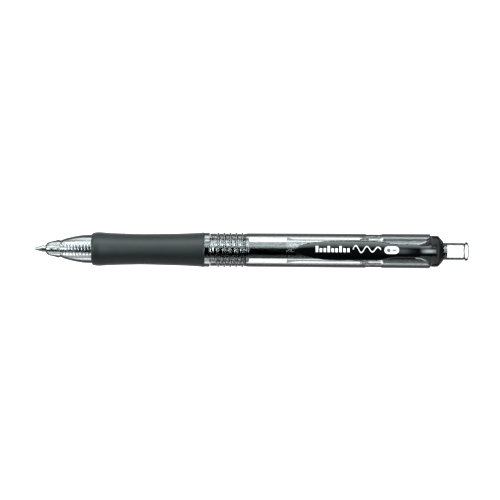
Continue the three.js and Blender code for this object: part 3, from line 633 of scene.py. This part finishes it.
# ---- Grip ----
# A moulded rubber sleeve stretched over the front section's seat. It swells behind the nose, narrows to a
# waist for the fingers and widens to the barrel. Its skin is matt and finely grained from a blasted mould.
grip_rubber, tree, shader = finish_of("grip_rubber", (0.006, 0.008, 0.008), 0.5, Specular_IOR_Level=0.45)
spot, grain = moulded(tree, shader, 0.00016, 0.000025, 0.5)
broad = node(tree, "ShaderNodeTexNoise", Vector=spot["Object"], Scale=260.0, Detail=4.0).outputs["Fac"]
feed(tree, shader.inputs["Base Color"], mixed(tree, broad, (0.002, 0.0035, 0.0035), (0.006, 0.009, 0.0085)))
feed(tree, shader.inputs["Roughness"], ranged(tree, grain, 0, 1, 0.4, 0.52))

WAIST = 5.18
grip_line = curved(
    [
        (GRIP_START + 0.35, 5.42),
        (GRIP_START + 1.2, 5.62),
        (GRIP_START + 2.5, 5.71),
        (GRIP_START + 4.2, 5.6),
        (GRIP_START + 6.2, 5.46),
        (GRIP_START + 12.0, 5.27),
        (GRIP_START + 17.0, WAIST),
        (GRIP_START + 23.0, 5.27),
        (GRIP_START + 29.5, 5.42),
        (GRIP_START + 33.5, 5.58),
        (GRIP_START + 36.0, 5.74),
        (GRIP_END - 0.25, GRIP_RADIUS - 0.03),
    ],
    6,
)
grip_outline = [
    (GRIP_START, SEAT + 0.05),
    (GRIP_START, 4.95),
    (GRIP_START + 0.06, 5.15),
    *grip_line,
    (GRIP_END - 0.06, GRIP_RADIUS - 0.1),
    (GRIP_END, GRIP_RADIUS - 0.3),
    (GRIP_END, SEAT + 0.05),
    (GRIP_START, SEAT + 0.05),
]
grip = turned("grip", grip_outline, sides=128)
dress(grip, grip_rubber, "front", "rubber_grip")

# ---- Cam sleeve ----
# A clear inner sleeve, flared at its front to fit the bore. Two sprung arms carry snap tabs that stand in
# the barrel's windows, and its rear end holds the fixed ribs and grooves that the click keys slide in.


def prism(name, plan, low, high):
    """A block with a plan of stations and places across the pen, from one height to another."""
    return lofted(name, [[(x, y, z) for x, y in plan] for z in (low, high)])


def about_axis(piece, angle):
    """The piece turned about the pen's axis."""
    for v in piece.data.vertices:
        y, z = v.co.y, v.co.z - AXIS_Z * MM
        v.co.y = y * math.cos(angle) - z * math.sin(angle)
        v.co.z = y * math.sin(angle) + z * math.cos(angle) + AXIS_Z * MM
    return piece


def worked(piece, tool, operation):
    """The piece cut by a tool or joined to it. The tool is used up."""
    change = piece.modifiers.new("worked", "BOOLEAN")
    change.operation = operation
    change.solver = "EXACT"
    change.object = tool
    graph = bpy.context.evaluated_depsgraph_get()
    mesh = bpy.data.meshes.new_from_object(piece.evaluated_get(graph))
    piece.modifiers.clear()
    piece.data = mesh
    bpy.data.objects.remove(tool)
    return piece


sleeve_clear = clear("sleeve_plastic", (0.72, 0.74, 0.76), 120, 0.02, ior=1.5, rim_shade=0.4)

SLEEVE_START, SLEEVE_END, TAB_RADIUS = span("cam_sleeve")
CAP_START, CAP_END, _ = span("tail_cap")
SLEEVE_BORE = TUBE_RADIUS + 0.4
SLEEVE = SLEEVE_BORE + 0.47
SLEEVE_RIM = 0.4
FLARE = 2.7
BARREL_BORE = SLEEVE + 0.5
CAM_RIB = SLEEVE_BORE - 0.45
CAM_OUTER = 3.66
TAB_SHOULDER = CAP_START - 0.7
TAB_HALF = 2.0
TAB_FLAT = 4.0
TAB_RAMP = 2.6
ARM_LENGTH = 11.6
SLOT = 0.4
CAM_START = CAP_START + 0.3
KEY_WIDTH = 1.6
KEYS = 4

sleeve_outline = [
    (SLEEVE_START, SLEEVE_BORE),
    (SLEEVE_START, BARREL_BORE - 0.07),
    (SLEEVE_START + SLEEVE_RIM, BARREL_BORE - 0.07),
    (SLEEVE_START + FLARE, SLEEVE),
    (TAB_SHOULDER + SLOT, SLEEVE),
    (TAB_SHOULDER + SLOT, CAM_OUTER),
    (SLEEVE_END, CAM_OUTER),
    (SLEEVE_END, CAM_RIB),
    (CAM_START, CAM_RIB),
    (CAM_START, SLEEVE_BORE),
    (SLEEVE_START, SLEEVE_BORE),
]
sleeve = turned("sleeve", rounded(sleeve_outline, 0.12, 3))
flat_start = TAB_SHOULDER - TAB_FLAT
tab_plan = [
    (flat_start - TAB_RAMP - 0.4, SLEEVE - 0.2),
    (TAB_SHOULDER, SLEEVE - 0.2),
    (TAB_SHOULDER, TAB_RADIUS),
    (flat_start, TAB_RADIUS),
    (flat_start - TAB_RAMP, SLEEVE),
]


def block_of(start, end, low, high):
    """The plan of a block between two stations and two places across the pen."""
    return [(start, low), (end, low), (end, high), (start, high)]


for side in (1, -1):
    plan = [(x, side * y) for x, y in tab_plan][::side]
    sleeve = worked(sleeve, prism("tab", plan, -TAB_HALF, TAB_HALF), "UNION")
    low, high = sorted((side * 1.2, side * (TAB_RADIUS + 0.2)))
    cut = block_of(TAB_SHOULDER - ARM_LENGTH, TAB_SHOULDER + SLOT, low, high)
    for height in (-TAB_HALF - SLOT, TAB_HALF):
        sleeve = worked(sleeve, prism("slot", cut, height, height + SLOT), "DIFFERENCE")
    gap = block_of(TAB_SHOULDER, TAB_SHOULDER + SLOT, low, high)
    sleeve = worked(sleeve, prism("gap", gap, -TAB_HALF - SLOT / 2, TAB_HALF + SLOT / 2), "DIFFERENCE")
groove = block_of(CAM_START - 0.4, SLEEVE_END + 0.4, -KEY_WIDTH / 2 - 0.2, KEY_WIDTH / 2 + 0.2)
for k in range(KEYS):
    tool = about_axis(prism("groove", groove, CAM_RIB - 0.5, CAM_RIB + 0.4), 2 * math.pi * k / KEYS)
    sleeve = worked(sleeve, tool, "DIFFERENCE")
softened(sleeve, 30)
dress(sleeve, sleeve_clear, "barrel", "cam_sleeve")

# ---- Click mechanism ----
# The rotor, moulded in natural acetal, turns a step at each press. The black plunger's pointed teeth meet
# the rotor's, both have keys that slide in the sleeve, and the plunger's stem is pushed into the button.
acetal, tree, shader = finish_of("natural_acetal", (0.85, 0.84, 0.79), 0.32, Subsurface_Weight=0.3)
shader.inputs["Subsurface Radius"].default_value = (0.0006, 0.0005, 0.0004)
shader.inputs["Subsurface Scale"].default_value = 1.0
moulded(tree, shader, 0.0009, 0.00001)
plunger_black, tree, shader = finish_of("plunger_black", (0.012, 0.012, 0.013), 0.2)
moulded(tree, shader, 0.0012, 0.00001)

TEETH = 8
CROWN = 0.8
KEY_RADIUS = SLEEVE_BORE - 0.2
ROTOR_START, ROTOR_END, _ = span("cam_rotor")
PLUNGER_START, PLUNGER_END, _ = span("plunger")
BUTTON_START, BUTTON_END, FOOT = span("push_button")
CORE = 1.2
TEETH_REACH = 0.9
rotor_radius = CAM_RIB - 0.15


def crowned(station, depth):
    """A shape that raises an end face into a ring of pointed teeth."""

    def shape(along, out, angle):
        near = 1 - abs(along - station) / depth
        if near <= 0:
            return along, out
        wave = 4 * abs((angle * TEETH / (2 * math.pi)) % 1 - 0.5) - 1
        return along + wave * CROWN / 2 * near, out

    return shape


def keyed(piece, start, end, slant):
    """Adds the keys round a rotor or a plunger."""
    half = KEY_WIDTH / 2
    plan = [(start, -half), (end, -half), (end - slant, half), (start, half)]
    for k in range(KEYS):
        key = about_axis(prism("key", plan, rotor_radius - 0.5, KEY_RADIUS), 2 * math.pi * k / KEYS)
        piece = worked(piece, key, "UNION")
    return softened(piece, 30)


face = ROTOR_END - CROWN / 2
rotor_outline = [
    (ROTOR_START, 0),
    (ROTOR_START, rotor_radius - 0.3),
    (ROTOR_START + 0.4, rotor_radius),
    (face - 1.0, rotor_radius),
    (face, rotor_radius),
    (face, CORE),
    (face - 1.0, CORE),
    (face - 3.0, CORE),
    (face - 3.0, 0),
]
rotor = keyed(turned("rotor", rotor_outline, crowned(face, TEETH_REACH)), face - 2.4, face + 0.2, 0.7)
dress(rotor, acetal, "rotor", "cam_rotor")

face = PLUNGER_START + CROWN / 2
STEM = 2.33
head_end = BUTTON_START - 0.1
plunger_outline = [
    (face + 11.0, 0),
    (face + 11.0, CORE),
    (face + 1.0, CORE),
    (face, CORE),
    (face, rotor_radius),
    (face + 1.0, rotor_radius),
    (head_end - 0.1, rotor_radius),
    (head_end, rotor_radius - 0.1),
    (head_end, STEM),
    (PLUNGER_END - 0.5, STEM),
    (PLUNGER_END - 0.15, STEM - 0.12),
    (PLUNGER_END, STEM - 0.4),
    (PLUNGER_END, 0),
]
plunger_rod = turned("plunger_rod", plunger_outline, crowned(face, TEETH_REACH))
plunger = keyed(plunger_rod, face + 0.6, face + 3.7, 0)
dress(plunger, plunger_black, "button", "plunger")

# ---- Push button ----
# A clear moulded cup pushed over the plunger's stem. A foot inside the cap keeps it from coming out, and
# its thick end has a small flange round it for the thumb.
button_clear = clear("button_plastic", (0.8, 0.82, 0.84), 100, 0.0, ior=1.5, rim_shade=0, starts=0.05, ends=0.34)

BUTTON = 2.93
BUTTON_BORE = BUTTON - 0.53
END_WALL = 1.5
FLANGE_LENGTH = 1.3
FOOT_LENGTH = 1.0
GROOVE = 0.18
GROOVE_DEPTH = 0.3
BEVEL = 0.36
BEVEL_SLOPE = math.radians(60)
flange = BUTTON + 0.27
button_outline = [
    (BUTTON_END - END_WALL, 0),
    (BUTTON_END - END_WALL, BUTTON_BORE),
    (BUTTON_START, BUTTON_BORE),
    (BUTTON_START, FOOT),
    (BUTTON_START + FOOT_LENGTH, FOOT),
    (BUTTON_START + FOOT_LENGTH, BUTTON),
    (BUTTON_END - FLANGE_LENGTH - 2 * GROOVE, BUTTON),
    (BUTTON_END - FLANGE_LENGTH - GROOVE, BUTTON - GROOVE_DEPTH),
    (BUTTON_END - FLANGE_LENGTH, flange),
    (BUTTON_END - BEVEL, flange),
    (BUTTON_END, flange - BEVEL * math.tan(BEVEL_SLOPE)),
    (BUTTON_END, 0),
]
button = turned("button", rounded(button_outline, 0.08))
dress(button, button_clear, "button", "push_button")

# ---- Rear barrel ----
# A slightly smoky clear tube with a threaded socket for the front section, five raised ribs over it, two
# windows for the sleeve's tabs and a scalloped rear end that the cap's saddle fills.
barrel_smoke = clear("barrel_plastic", (0.5, 0.55, 0.54), 200, 0.0, ior=1.55, rim_shade=0)

RIBS = 5
RIB_FIRST = 2.7
RIB_PITCH = 2.0
RIB_HALF = 0.46
RIB_BASE = 5.6
RIB_TOP = 5.92
RIB_FLANK = ((-1, 0), (-0.92, 0.1), (-0.56, 0.9), (-0.4, 1))
RIB_SHAPE = [*RIB_FLANK, *[(-share, swell) for share, swell in RIB_FLANK[::-1]]]
PLAIN = 5.77
RIBBED = 11.6
PLAIN_START = 12.6
TAPER_START = 14.0
SOCKET_END = thread_end + 1.2
SADDLE_FRONT = BARREL_END - 5.0
SADDLE_ARC = 4.3
SADDLE_HALF = 5.0
NECK_HALF = 2.2

outside = [(BARREL_START, BARREL_BORE), (BARREL_START, RIB_BASE - 0.12), (BARREL_START + 0.12, RIB_BASE)]
for k in range(RIBS):
    middle = BARREL_START + RIB_FIRST + k * RIB_PITCH
    for share, swell in RIB_SHAPE:
        outside.append((middle + share * RIB_HALF, RIB_BASE + (RIB_TOP - RIB_BASE) * swell))
outside += [(BARREL_START + RIBBED, RIB_BASE), (BARREL_START + PLAIN_START, PLAIN)]
outside += [(BARREL_START + TAPER_START, PLAIN)]
outside += [(BARREL_END - 0.3, BARREL_RADIUS - 0.001), (BARREL_END - 0.08, BARREL_RADIUS - 0.04)]
outside += [(BARREL_END, BARREL_RADIUS - 0.15), (BARREL_END, BARREL_BORE)]
inside = stretch(SOCKET_END, BARREL_START, BARREL_BORE)
nut = threaded(BARREL_BORE, 0.15, BARREL_START - 0.8, thread_end + 1.0)
barrel = turned("barrel", outside + inside, nut, THREAD_SIDES)
WINDOW_GAP = 0.15
window_plan = [
    (flat_start - TAB_RAMP - 0.5, SLEEVE),
    (TAB_SHOULDER + WINDOW_GAP, SLEEVE),
    (TAB_SHOULDER + WINDOW_GAP, BARREL_RADIUS + 1),
    (flat_start + 0.6, BARREL_RADIUS + 1),
]
for side in (1, -1):
    plan = [(x, side * y) for x, y in window_plan][::side]
    tool = prism("window", plan, -TAB_HALF - WINDOW_GAP, TAB_HALF + WINDOW_GAP)
    barrel = worked(barrel, tool, "DIFFERENCE")

# The scallop's outline, seen from above: a narrow mouth for the clip's neck that widens in two arcs.
LEDGE = 2.6
ARC_START = BARREL_END - SADDLE_ARC - 0.3
scallop = [(SADDLE_FRONT, NECK_HALF)]
for k in range(13):
    angle = math.pi / 2 * k / 12
    across = SADDLE_HALF - (SADDLE_HALF - NECK_HALF) * math.cos(angle)
    scallop.append((ARC_START + SADDLE_ARC * math.sin(angle), across))
scallop.append((BARREL_END + 1, SADDLE_HALF))
scallop = [(x, -y) for x, y in scallop] + scallop[::-1]
barrel = worked(barrel, prism("scallop", scallop, LEDGE, BARREL_RADIUS + 1), "DIFFERENCE")
softened(barrel, 30)
dress(barrel, barrel_smoke, "barrel", "rear_barrel")

# ---- Tail cap ----
# A glossy black moulding. Its tail tube is pressed into the barrel round the cam, its saddle lies flush in
# the barrel's scallop and rises to the clip's root, and its collar ends in a chamfer round the button.
gloss, given, result = effect("handled_gloss", {"Polish": 0.1, "Wear": 0.1}, ("Roughness", "Height"))
spot = node(gloss, "ShaderNodeTexCoord").outputs["Object"]
stretched = node(gloss, "ShaderNodeMapping", Vector=spot, Scale=(700, 2600, 2600)).outputs[0]
scuffs = node(gloss, "ShaderNodeTexNoise", Vector=stretched, Scale=1.0, Detail=5.0, Roughness=0.65)
haze = node(gloss, "ShaderNodeTexNoise", Vector=spot, Scale=180.0, Detail=2.0)
rough = maths(gloss, "MULTIPLY_ADD", scuffs.outputs["Fac"], given["Wear"], given["Polish"])
feed(gloss, result["Roughness"], rough)
feed(gloss, result["Height"], haze.outputs["Fac"])


def handled(tree, shader, polish, wear):
    """Puts the look of a glossy moulding that is handled into a material."""
    group = node(tree, "ShaderNodeGroup", node_tree=gloss, Polish=polish, Wear=wear)
    feed(tree, shader.inputs["Roughness"], group.outputs["Roughness"])
    bumped(tree, shader, group.outputs["Height"], 0.3, 0.00002)


black_plastic, tree, shader = finish_of("black_plastic", (0.001, 0.0013, 0.0015), 0.1, IOR=1.52)
handled(tree, shader, 0.05, 0.07)

COLLAR_START = BARREL_END + 0.1
COLLAR = 5.25
COLLAR_END = CAP_END - 1.6
TAIL_TUBE = BARREL_BORE - 0.07
TAIL_BORE = TAIL_TUBE - 0.45
CAP_BORE = BUTTON + 0.09
COLLAR_STEPS = 8
collar_line = []
for k in range(COLLAR_STEPS + 1):
    share = k / COLLAR_STEPS
    bulge = COLLAR - 0.1 * (2 * share - 1) ** 4
    collar_line.append((COLLAR_START + (COLLAR_END - COLLAR_START) * share, bulge))
cap_outline = [
    (CAP_START, TAIL_BORE),
    (CAP_START, TAIL_TUBE - 0.15),
    (CAP_START + 0.4, TAIL_TUBE),
    (COLLAR_START, TAIL_TUBE),
    *collar_line,
    (CAP_END, CAP_BORE + 0.33),
    (CAP_END, CAP_BORE),
    (BARREL_END, CAP_BORE),
    (BARREL_END, TAIL_BORE),
    (CAP_START, TAIL_BORE),
]
cap = turned("cap", rounded(cap_outline, 0.15))

# The saddle's top follows the barrel, and the clip's root rises from it as a hill that widens to the rear.
CLIP_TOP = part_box("clip")[1].z / MM - AXIS_Z
ROOT_END = CAP_END - 0.5
hill_top = curved(
    [
        (SADDLE_FRONT, CLIP_TOP - 0.33),
        (BARREL_END - 2.8, CLIP_TOP - 0.36),
        (BARREL_END - 0.6, CLIP_TOP - 0.72),
        (COLLAR_START + 1.4, CLIP_TOP - 1.6),
        (COLLAR_END - 0.3, COLLAR + 0.35),
        (ROOT_END, CAP_BORE + 1.1),
    ],
    6,
)


def between(line, station):
    """The value of a line of points at a station."""
    for (a, low), (b, high) in zip(line, line[1:]):
        if station <= b:
            return low + (high - low) * max(0, station - a) / (b - a)
    return line[-1][1]


def ground(station):
    """The radius of the barrel's or the collar's surface under the clip's root."""
    if station <= BARREL_END:
        return BARREL_RADIUS - 0.05
    if station <= COLLAR_END:
        return COLLAR - 0.02 + (BARREL_RADIUS - COLLAR) * (1 - eased((station - BARREL_END) / 0.8))
    return COLLAR - (COLLAR - CAP_BORE - 0.33) * (station - COLLAR_END) / (CAP_END - COLLAR_END) - 0.05


def saddle_half(station):
    """Half the saddle's width at a station."""
    share = min(max((station - ARC_START) / SADDLE_ARC, 0), 1)
    half = SADDLE_HALF - (SADDLE_HALF - NECK_HALF) * math.sqrt(1 - share**2) - 0.08
    if station > BARREL_END:
        half -= 1.3 * eased((station - BARREL_END) / 3.5)
    return min(half, math.sqrt(ground(station) ** 2 - (LEDGE + 0.5) ** 2))


ACROSS = 32
SADDLE_STEPS = 48
UNDER_EVERY = 8
rings = []
for i in range(SADDLE_STEPS + 1):
    station = SADDLE_FRONT + 0.05 + (ROOT_END - SADDLE_FRONT - 0.05) * i / SADDLE_STEPS
    half = saddle_half(station)
    radius = ground(station)
    rise = between(hill_top, station) - radius
    flare = eased((station - SADDLE_FRONT) / (BARREL_END - SADDLE_FRONT))
    width = NECK_HALF - 0.05 + 0.75 * flare
    power = 9 - 5.8 * flare
    places = [half * math.sin(math.pi / 2 * (2 * k / ACROSS - 1)) for k in range(ACROSS + 1)]
    ring = []
    for y in places:
        arc_height = math.sqrt(max(radius**2 - y**2, 1))
        crown = 0.12 * (y / NECK_HALF) ** 2 * (1 - flare)
        ring.append((station, y, arc_height + (rise - crown) / (1 + abs(y / width) ** power)))
    for y in places[::-UNDER_EVERY]:
        ring.append((station, y, max(math.sqrt(max((CAP_BORE + 0.2) ** 2 - y**2, 0)), LEDGE + 0.15)))
    rings.append(ring)
saddle = softened(lofted("saddle", rings), 35)
bore_outline = [
    (CAP_START - 1, 0),
    (CAP_START - 1, TAIL_BORE),
    (BARREL_END, TAIL_BORE),
    (BARREL_END, CAP_BORE),
    (CAP_END + 1, CAP_BORE),
    (CAP_END + 1, 0),
]
saddle = worked(saddle, turned("bore_tool", rounded(bore_outline, 0.01, 1)), "DIFFERENCE")
cap = worked(cap, saddle, "UNION")
softened(cap, 35)
dress(cap, black_plastic, "barrel", "tail_cap")

# The collar is finely blasted, so that it takes no clear highlight.
blasted, tree, shader = finish_of("blasted_black", (0.001, 0.0013, 0.0015), 0.5, Specular_IOR_Level=0.06)
moulded(tree, shader, 0.00008, 0.00001, 0.5)
cap.data.materials.append(blasted)
for face in cap.data.polygons:
    station = (face.center.x - cad_low.x) / MM
    out = math.hypot(face.center.y / MM, face.center.z / MM - AXIS_Z)
    if station > COLLAR_START - 0.05 and out < COLLAR + 0.03:
        face.material_index = 1

# ---- Clip ----
# The same black plastic. The arm is a long leaf with a crowned top, a round pad under its front that presses
# on the barrel, and a narrow neck where it joins the cap. The arm is built in one place and is not attached
# to a body.
CLIP_START = span("clip")[0]
CLIP_HALF = 3.3
LEAF = 15.6
NECK_TAPER = 7.1
HINGE = span("clip")[1] - 0.8
WIDE_END = HINGE - 3.7 - NECK_TAPER
CLIP_END = SADDLE_FRONT + 1.3
CROWN_RADIUS = 7.5

top_line = curved(
    [
        (CLIP_START, CLIP_TOP - 0.82),
        (CLIP_START + 6, CLIP_TOP - 0.56),
        (CLIP_START + 14, CLIP_TOP - 0.16),
        (HINGE - 14, CLIP_TOP - 0.03),
        (HINGE - 6, CLIP_TOP - 0.1),
        (HINGE, CLIP_TOP - 0.3),
        (CLIP_END, CLIP_TOP - 0.34),
    ],
    10,
)
bottom_line = curved(
    [
        (CLIP_START, CLIP_TOP - 1.25),
        (CLIP_START + 1.0, CLIP_TOP - 1.5),
        (CLIP_START + 2.4, CLIP_TOP - 1.85),
        (CLIP_START + 4.6, PLAIN + 0.1),
        (CLIP_START + 7.0, CLIP_TOP - 1.7),
        (CLIP_START + 11.0, CLIP_TOP - 1.42),
        (WIDE_END, CLIP_TOP - 1.5),
        (HINGE, CLIP_TOP - 1.88),
        (CLIP_END, CLIP_TOP - 1.88),
    ],
    10,
)


def clip_half(station):
    """Half the clip's width at a station."""
    if station < CLIP_START + LEAF:
        return CLIP_HALF * math.sqrt(max(1 - ((CLIP_START + LEAF - station) / LEAF) ** 2, 0))
    taper = min(max(station - WIDE_END, 0) / NECK_TAPER, 1)
    return CLIP_HALF + (NECK_HALF - CLIP_HALF) * (1 - math.cos(math.pi * taper)) / 2


def crown_drop(y):
    return CROWN_RADIUS - math.sqrt(CROWN_RADIUS**2 - y * y)


AROUND = 48
LEAF_STEPS = 30
ARM_STEPS = 44
leaf_end = CLIP_START + LEAF
stations = [CLIP_START + 0.004]
for k in range(1, LEAF_STEPS + 1):
    stations.append(CLIP_START + LEAF * (1 - math.cos(math.pi / 2 * k / LEAF_STEPS)))
for k in range(1, ARM_STEPS + 1):
    stations.append(leaf_end + (CLIP_END - leaf_end) * k / ARM_STEPS)
rings = []
for station in stations:
    half = max(clip_half(station), 0.05)
    top, bottom = between(top_line, station), between(bottom_line, station)
    middle, thick = (top + bottom) / 2, (top - bottom) / 2
    ring = []
    for k in range(AROUND):
        angle = 2 * math.pi * k / AROUND
        c, s = math.cos(angle), math.sin(angle)
        y = half * math.copysign(abs(c) ** 0.55, c)
        lift = thick * math.copysign(abs(s) ** 0.5, s)
        sink = crown_drop(y) * (0.5 + lift / thick / 2) + 0.35 * crown_drop(y) * (0.5 - lift / thick / 2)
        ring.append((station, y, middle + lift - sink))
    rings.append(ring)
clip = softened(lofted("clip_arm", rings), 50)
clip.data.materials.append(black_plastic)
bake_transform(clip)
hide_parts("clip")

# The marks printed along the clip in white paint: a row of bars, a stroke of ink, and a badge with a dot.
paint, tree, shader = finish_of("white_print", (0.88, 0.84, 0.82), 0.4)
moulded(tree, shader, 0.0003, 0.000006)
badge_grey, tree, shader = finish_of("badge_print", (0.1, 0.1, 0.11), 0.4)
moulded(tree, shader, 0.0003, 0.000006)

clip_skin = BVHTree.FromObject(clip, bpy.context.evaluated_depsgraph_get())
ACROSS_PAINT = 8
PAINT = 0.012
SUNK = -0.02


def on_clip(station, y, raised):
    """A point on the clip's top, raised by the paint's thickness or sunk into the plastic."""
    hit = clip_skin.ray_cast(place(station, y, 3 * CLIP_TOP), Vector((0, 0, -1)))[0]
    return station, y, hit.z / MM - AXIS_Z + raised


def printed(name, shapes, material, raised=PAINT):
    """Thin paint on the clip. Each shape is a row of places, each with its station, its middle and its half
    width across the clip."""
    lofts = []
    for shape in shapes:
        rings = []
        for station, middle, half in shape:
            spots = [middle + half * (2 * k / ACROSS_PAINT - 1) for k in range(ACROSS_PAINT + 1)]
            ring = [on_clip(station, y, raised) for y in spots]
            rings.append(ring + [on_clip(station, y, SUNK) for y in spots[::-1]])
        lofts.append(rings)
    piece = lofted(name, *lofts)
    piece.data.materials.append(material)
    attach(piece, "clip")


MARK_START = CLIP_START + 7.1
MARK_LIFT = 0.25
BARS = 9
BAR_WIDTH = 0.78
BAR_PITCH = 1.3
BAR_TALL = 2.0
BAR_SHORT = 0.64
bars = []
for k in range(BARS):
    x = MARK_START + k * BAR_PITCH
    half = BAR_TALL / 2 * (1 if k % 3 == 0 else BAR_SHORT)
    bars.append([(x + BAR_WIDTH * j / 3, 2 * MARK_LIFT - BAR_TALL / 2 + half, half) for j in range(4)])
printed("bar_marks", bars, paint)

STROKE_START = MARK_START + 12.3
STROKE_LENGTH = 9.2
STROKE_STEPS = 72
WAVES = 2.5
WAVE_HEIGHT = 1.25
stroke = []
for j in range(STROKE_STEPS + 1):
    t = j / STROKE_STEPS
    phase = 2 * math.pi * WAVES * t
    middle = 2 * MARK_LIFT + WAVE_HEIGHT * (1 - 0.45 * t) * math.sin(phase)
    stroke.append((STROKE_START + STROKE_LENGTH * t, middle, 0.13 + 0.1 * abs(math.cos(phase))))
printed("ink_stroke", [stroke], paint)

BADGE = CLIP_START + 32.2
BADGE_HALF = 2.4
BADGE_TALL = 1.22
BADGE_STEPS = 40
THINNEST = 0.01
DOT = BADGE - 1.0
DOT_RADIUS = 0.66
DASH = BADGE + 0.15
DASH_LENGTH = 1.5
DASH_HALF = 0.3
SECOND_COAT = 0.02
badge = []
for j in range(BADGE_STEPS + 1):
    x = BADGE - BADGE_HALF * math.cos(math.pi * j / BADGE_STEPS)
    round_off = max(abs(x - BADGE) - (BADGE_HALF - BADGE_TALL), 0)
    half = math.sqrt(max(BADGE_TALL**2 - round_off**2, 0))
    badge.append((x, MARK_LIFT, max(half, 2 * THINNEST)))
printed("badge", [badge], paint)
dot = []
for j in range(17):
    angle = math.pi * j / 16
    dot.append((DOT - DOT_RADIUS * math.cos(angle), MARK_LIFT, max(DOT_RADIUS * math.sin(angle), THINNEST)))
dash = [(DASH + DASH_LENGTH * j / 8, MARK_LIFT, DASH_HALF) for j in range(9)]
printed("badge_sign", [dot, dash], badge_grey, SECOND_COAT)

# ---- Table, light and camera ----
# A pale light table whose light goes straight up, a wide soft box on the far side, a narrow one on the near
# side and a dark ceiling, so that the black parts take long soft highlights and the clear ones are lit from
# below, with darker edges.
UPWARD = 2.1
SLANTED = 0.35
TABLE_WHITE = 1.1
bpy.ops.mesh.primitive_plane_add(size=3.0, location=(0, 0, -0.00003))
table = bpy.context.object
table.name = "light_table"
surface, tree, shader = finish_of("table_white", (0.12, 0.12, 0.12), 0.6)
shader.inputs["Emission Color"].default_value = (1, 1, 1, 1)
seen = node(tree, "ShaderNodeLightPath").outputs["Is Camera Ray"]
facing = node(tree, "ShaderNodeLayerWeight", Blend=0.5).outputs["Facing"]
louvre = ranged(tree, facing, 0.14, 0.26, UPWARD, SLANTED)
strength = maths(tree, "MAXIMUM", louvre, maths(tree, "MULTIPLY", seen, TABLE_WHITE))
feed(tree, shader.inputs["Emission Strength"], strength)
table.data.materials.append(surface)
table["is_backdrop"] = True

world = bpy.data.worlds.new("studio")
bpy.context.scene.world = world
world.use_nodes = True
tree = world.node_tree
sky = node(tree, "ShaderNodeTexCoord").outputs["Generated"]
sky = node(tree, "ShaderNodeSeparateXYZ", sky).outputs
tilt = maths(tree, "ARCTAN2", sky["Y"], sky["Z"])
boxes = node(tree, "ShaderNodeValToRGB", ranged(tree, tilt, -math.pi / 2, math.pi / 2))
ramp = boxes.color_ramp
ramp.interpolation = "EASE"
stops = ((0.0, 0.1), (0.05, 0.2), (0.1, 0.12), (0.16, 0.0), (0.585, 0.0), (0.62, 0.35), (0.73, 0.85),
         (0.85, 1.4), (0.92, 0.1))
for position, _ in stops[1:-1]:
    ramp.elements.new(position)
for stop, (position, value) in zip(ramp.elements, stops):
    stop.position = position
    stop.color = (value, value, value, 1)
length = ranged(tree, maths(tree, "ABSOLUTE", sky["X"]), 0.45, 0.75, 1.0, 0.12)
soft_boxes = maths(tree, "MULTIPLY", boxes.outputs["Color"], length)

# Two lamps over the pen's ends: one beyond the button, and a weaker one far ahead of the writing point.
narrow = ranged(tree, maths(tree, "ABSOLUTE", sky["Y"]), 0.36, 0.06)
beyond = ranged(tree, sky["X"], 0.08, 0.42, 0.0, 2.8)
within = ranged(tree, sky["X"], 0.97, 0.72)
ahead = ranged(tree, sky["X"], -0.45, -0.65, 0.0, 1.3)
lamps = maths(tree, "MAXIMUM", maths(tree, "MULTIPLY", beyond, within), ahead)
lamps = maths(tree, "MULTIPLY", narrow, lamps)
horizon = ranged(tree, sky["Z"], 0.2, 0.0, 0.0, 0.2)
light = maths(tree, "MAXIMUM", maths(tree, "MAXIMUM", soft_boxes, lamps), horizon)
COOL_WHITE = (0.87, 0.98, 1.0)
feed(tree, tree.nodes["Background"].inputs["Color"], vectors(tree, "MULTIPLY", light, COOL_WHITE)[0])
tree.nodes["Background"].inputs["Strength"].default_value = 4.5

scene = bpy.context.scene
scene.view_settings.view_transform = "Standard"
scene.cycles.max_bounces = 24
scene.cycles.transmission_bounces = 24

LENS = 200
SENSOR = 36
FRAME_WIDTH = 0.16667
MIDDLE = -0.0004
ROLL = math.radians(0.4)
camera = bpy.data.objects.new("camera", bpy.data.cameras.new("camera"))
scene.collection.objects.link(camera)
camera.data.lens = LENS
camera.data.sensor_width = SENSOR
camera.location = (MIDDLE, 0, AXIS_Z * MM + FRAME_WIDTH * LENS / SENSOR)
camera.rotation_euler = (0, 0, ROLL)
camera.data.clip_end = 10
scene.camera = camera

low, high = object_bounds()
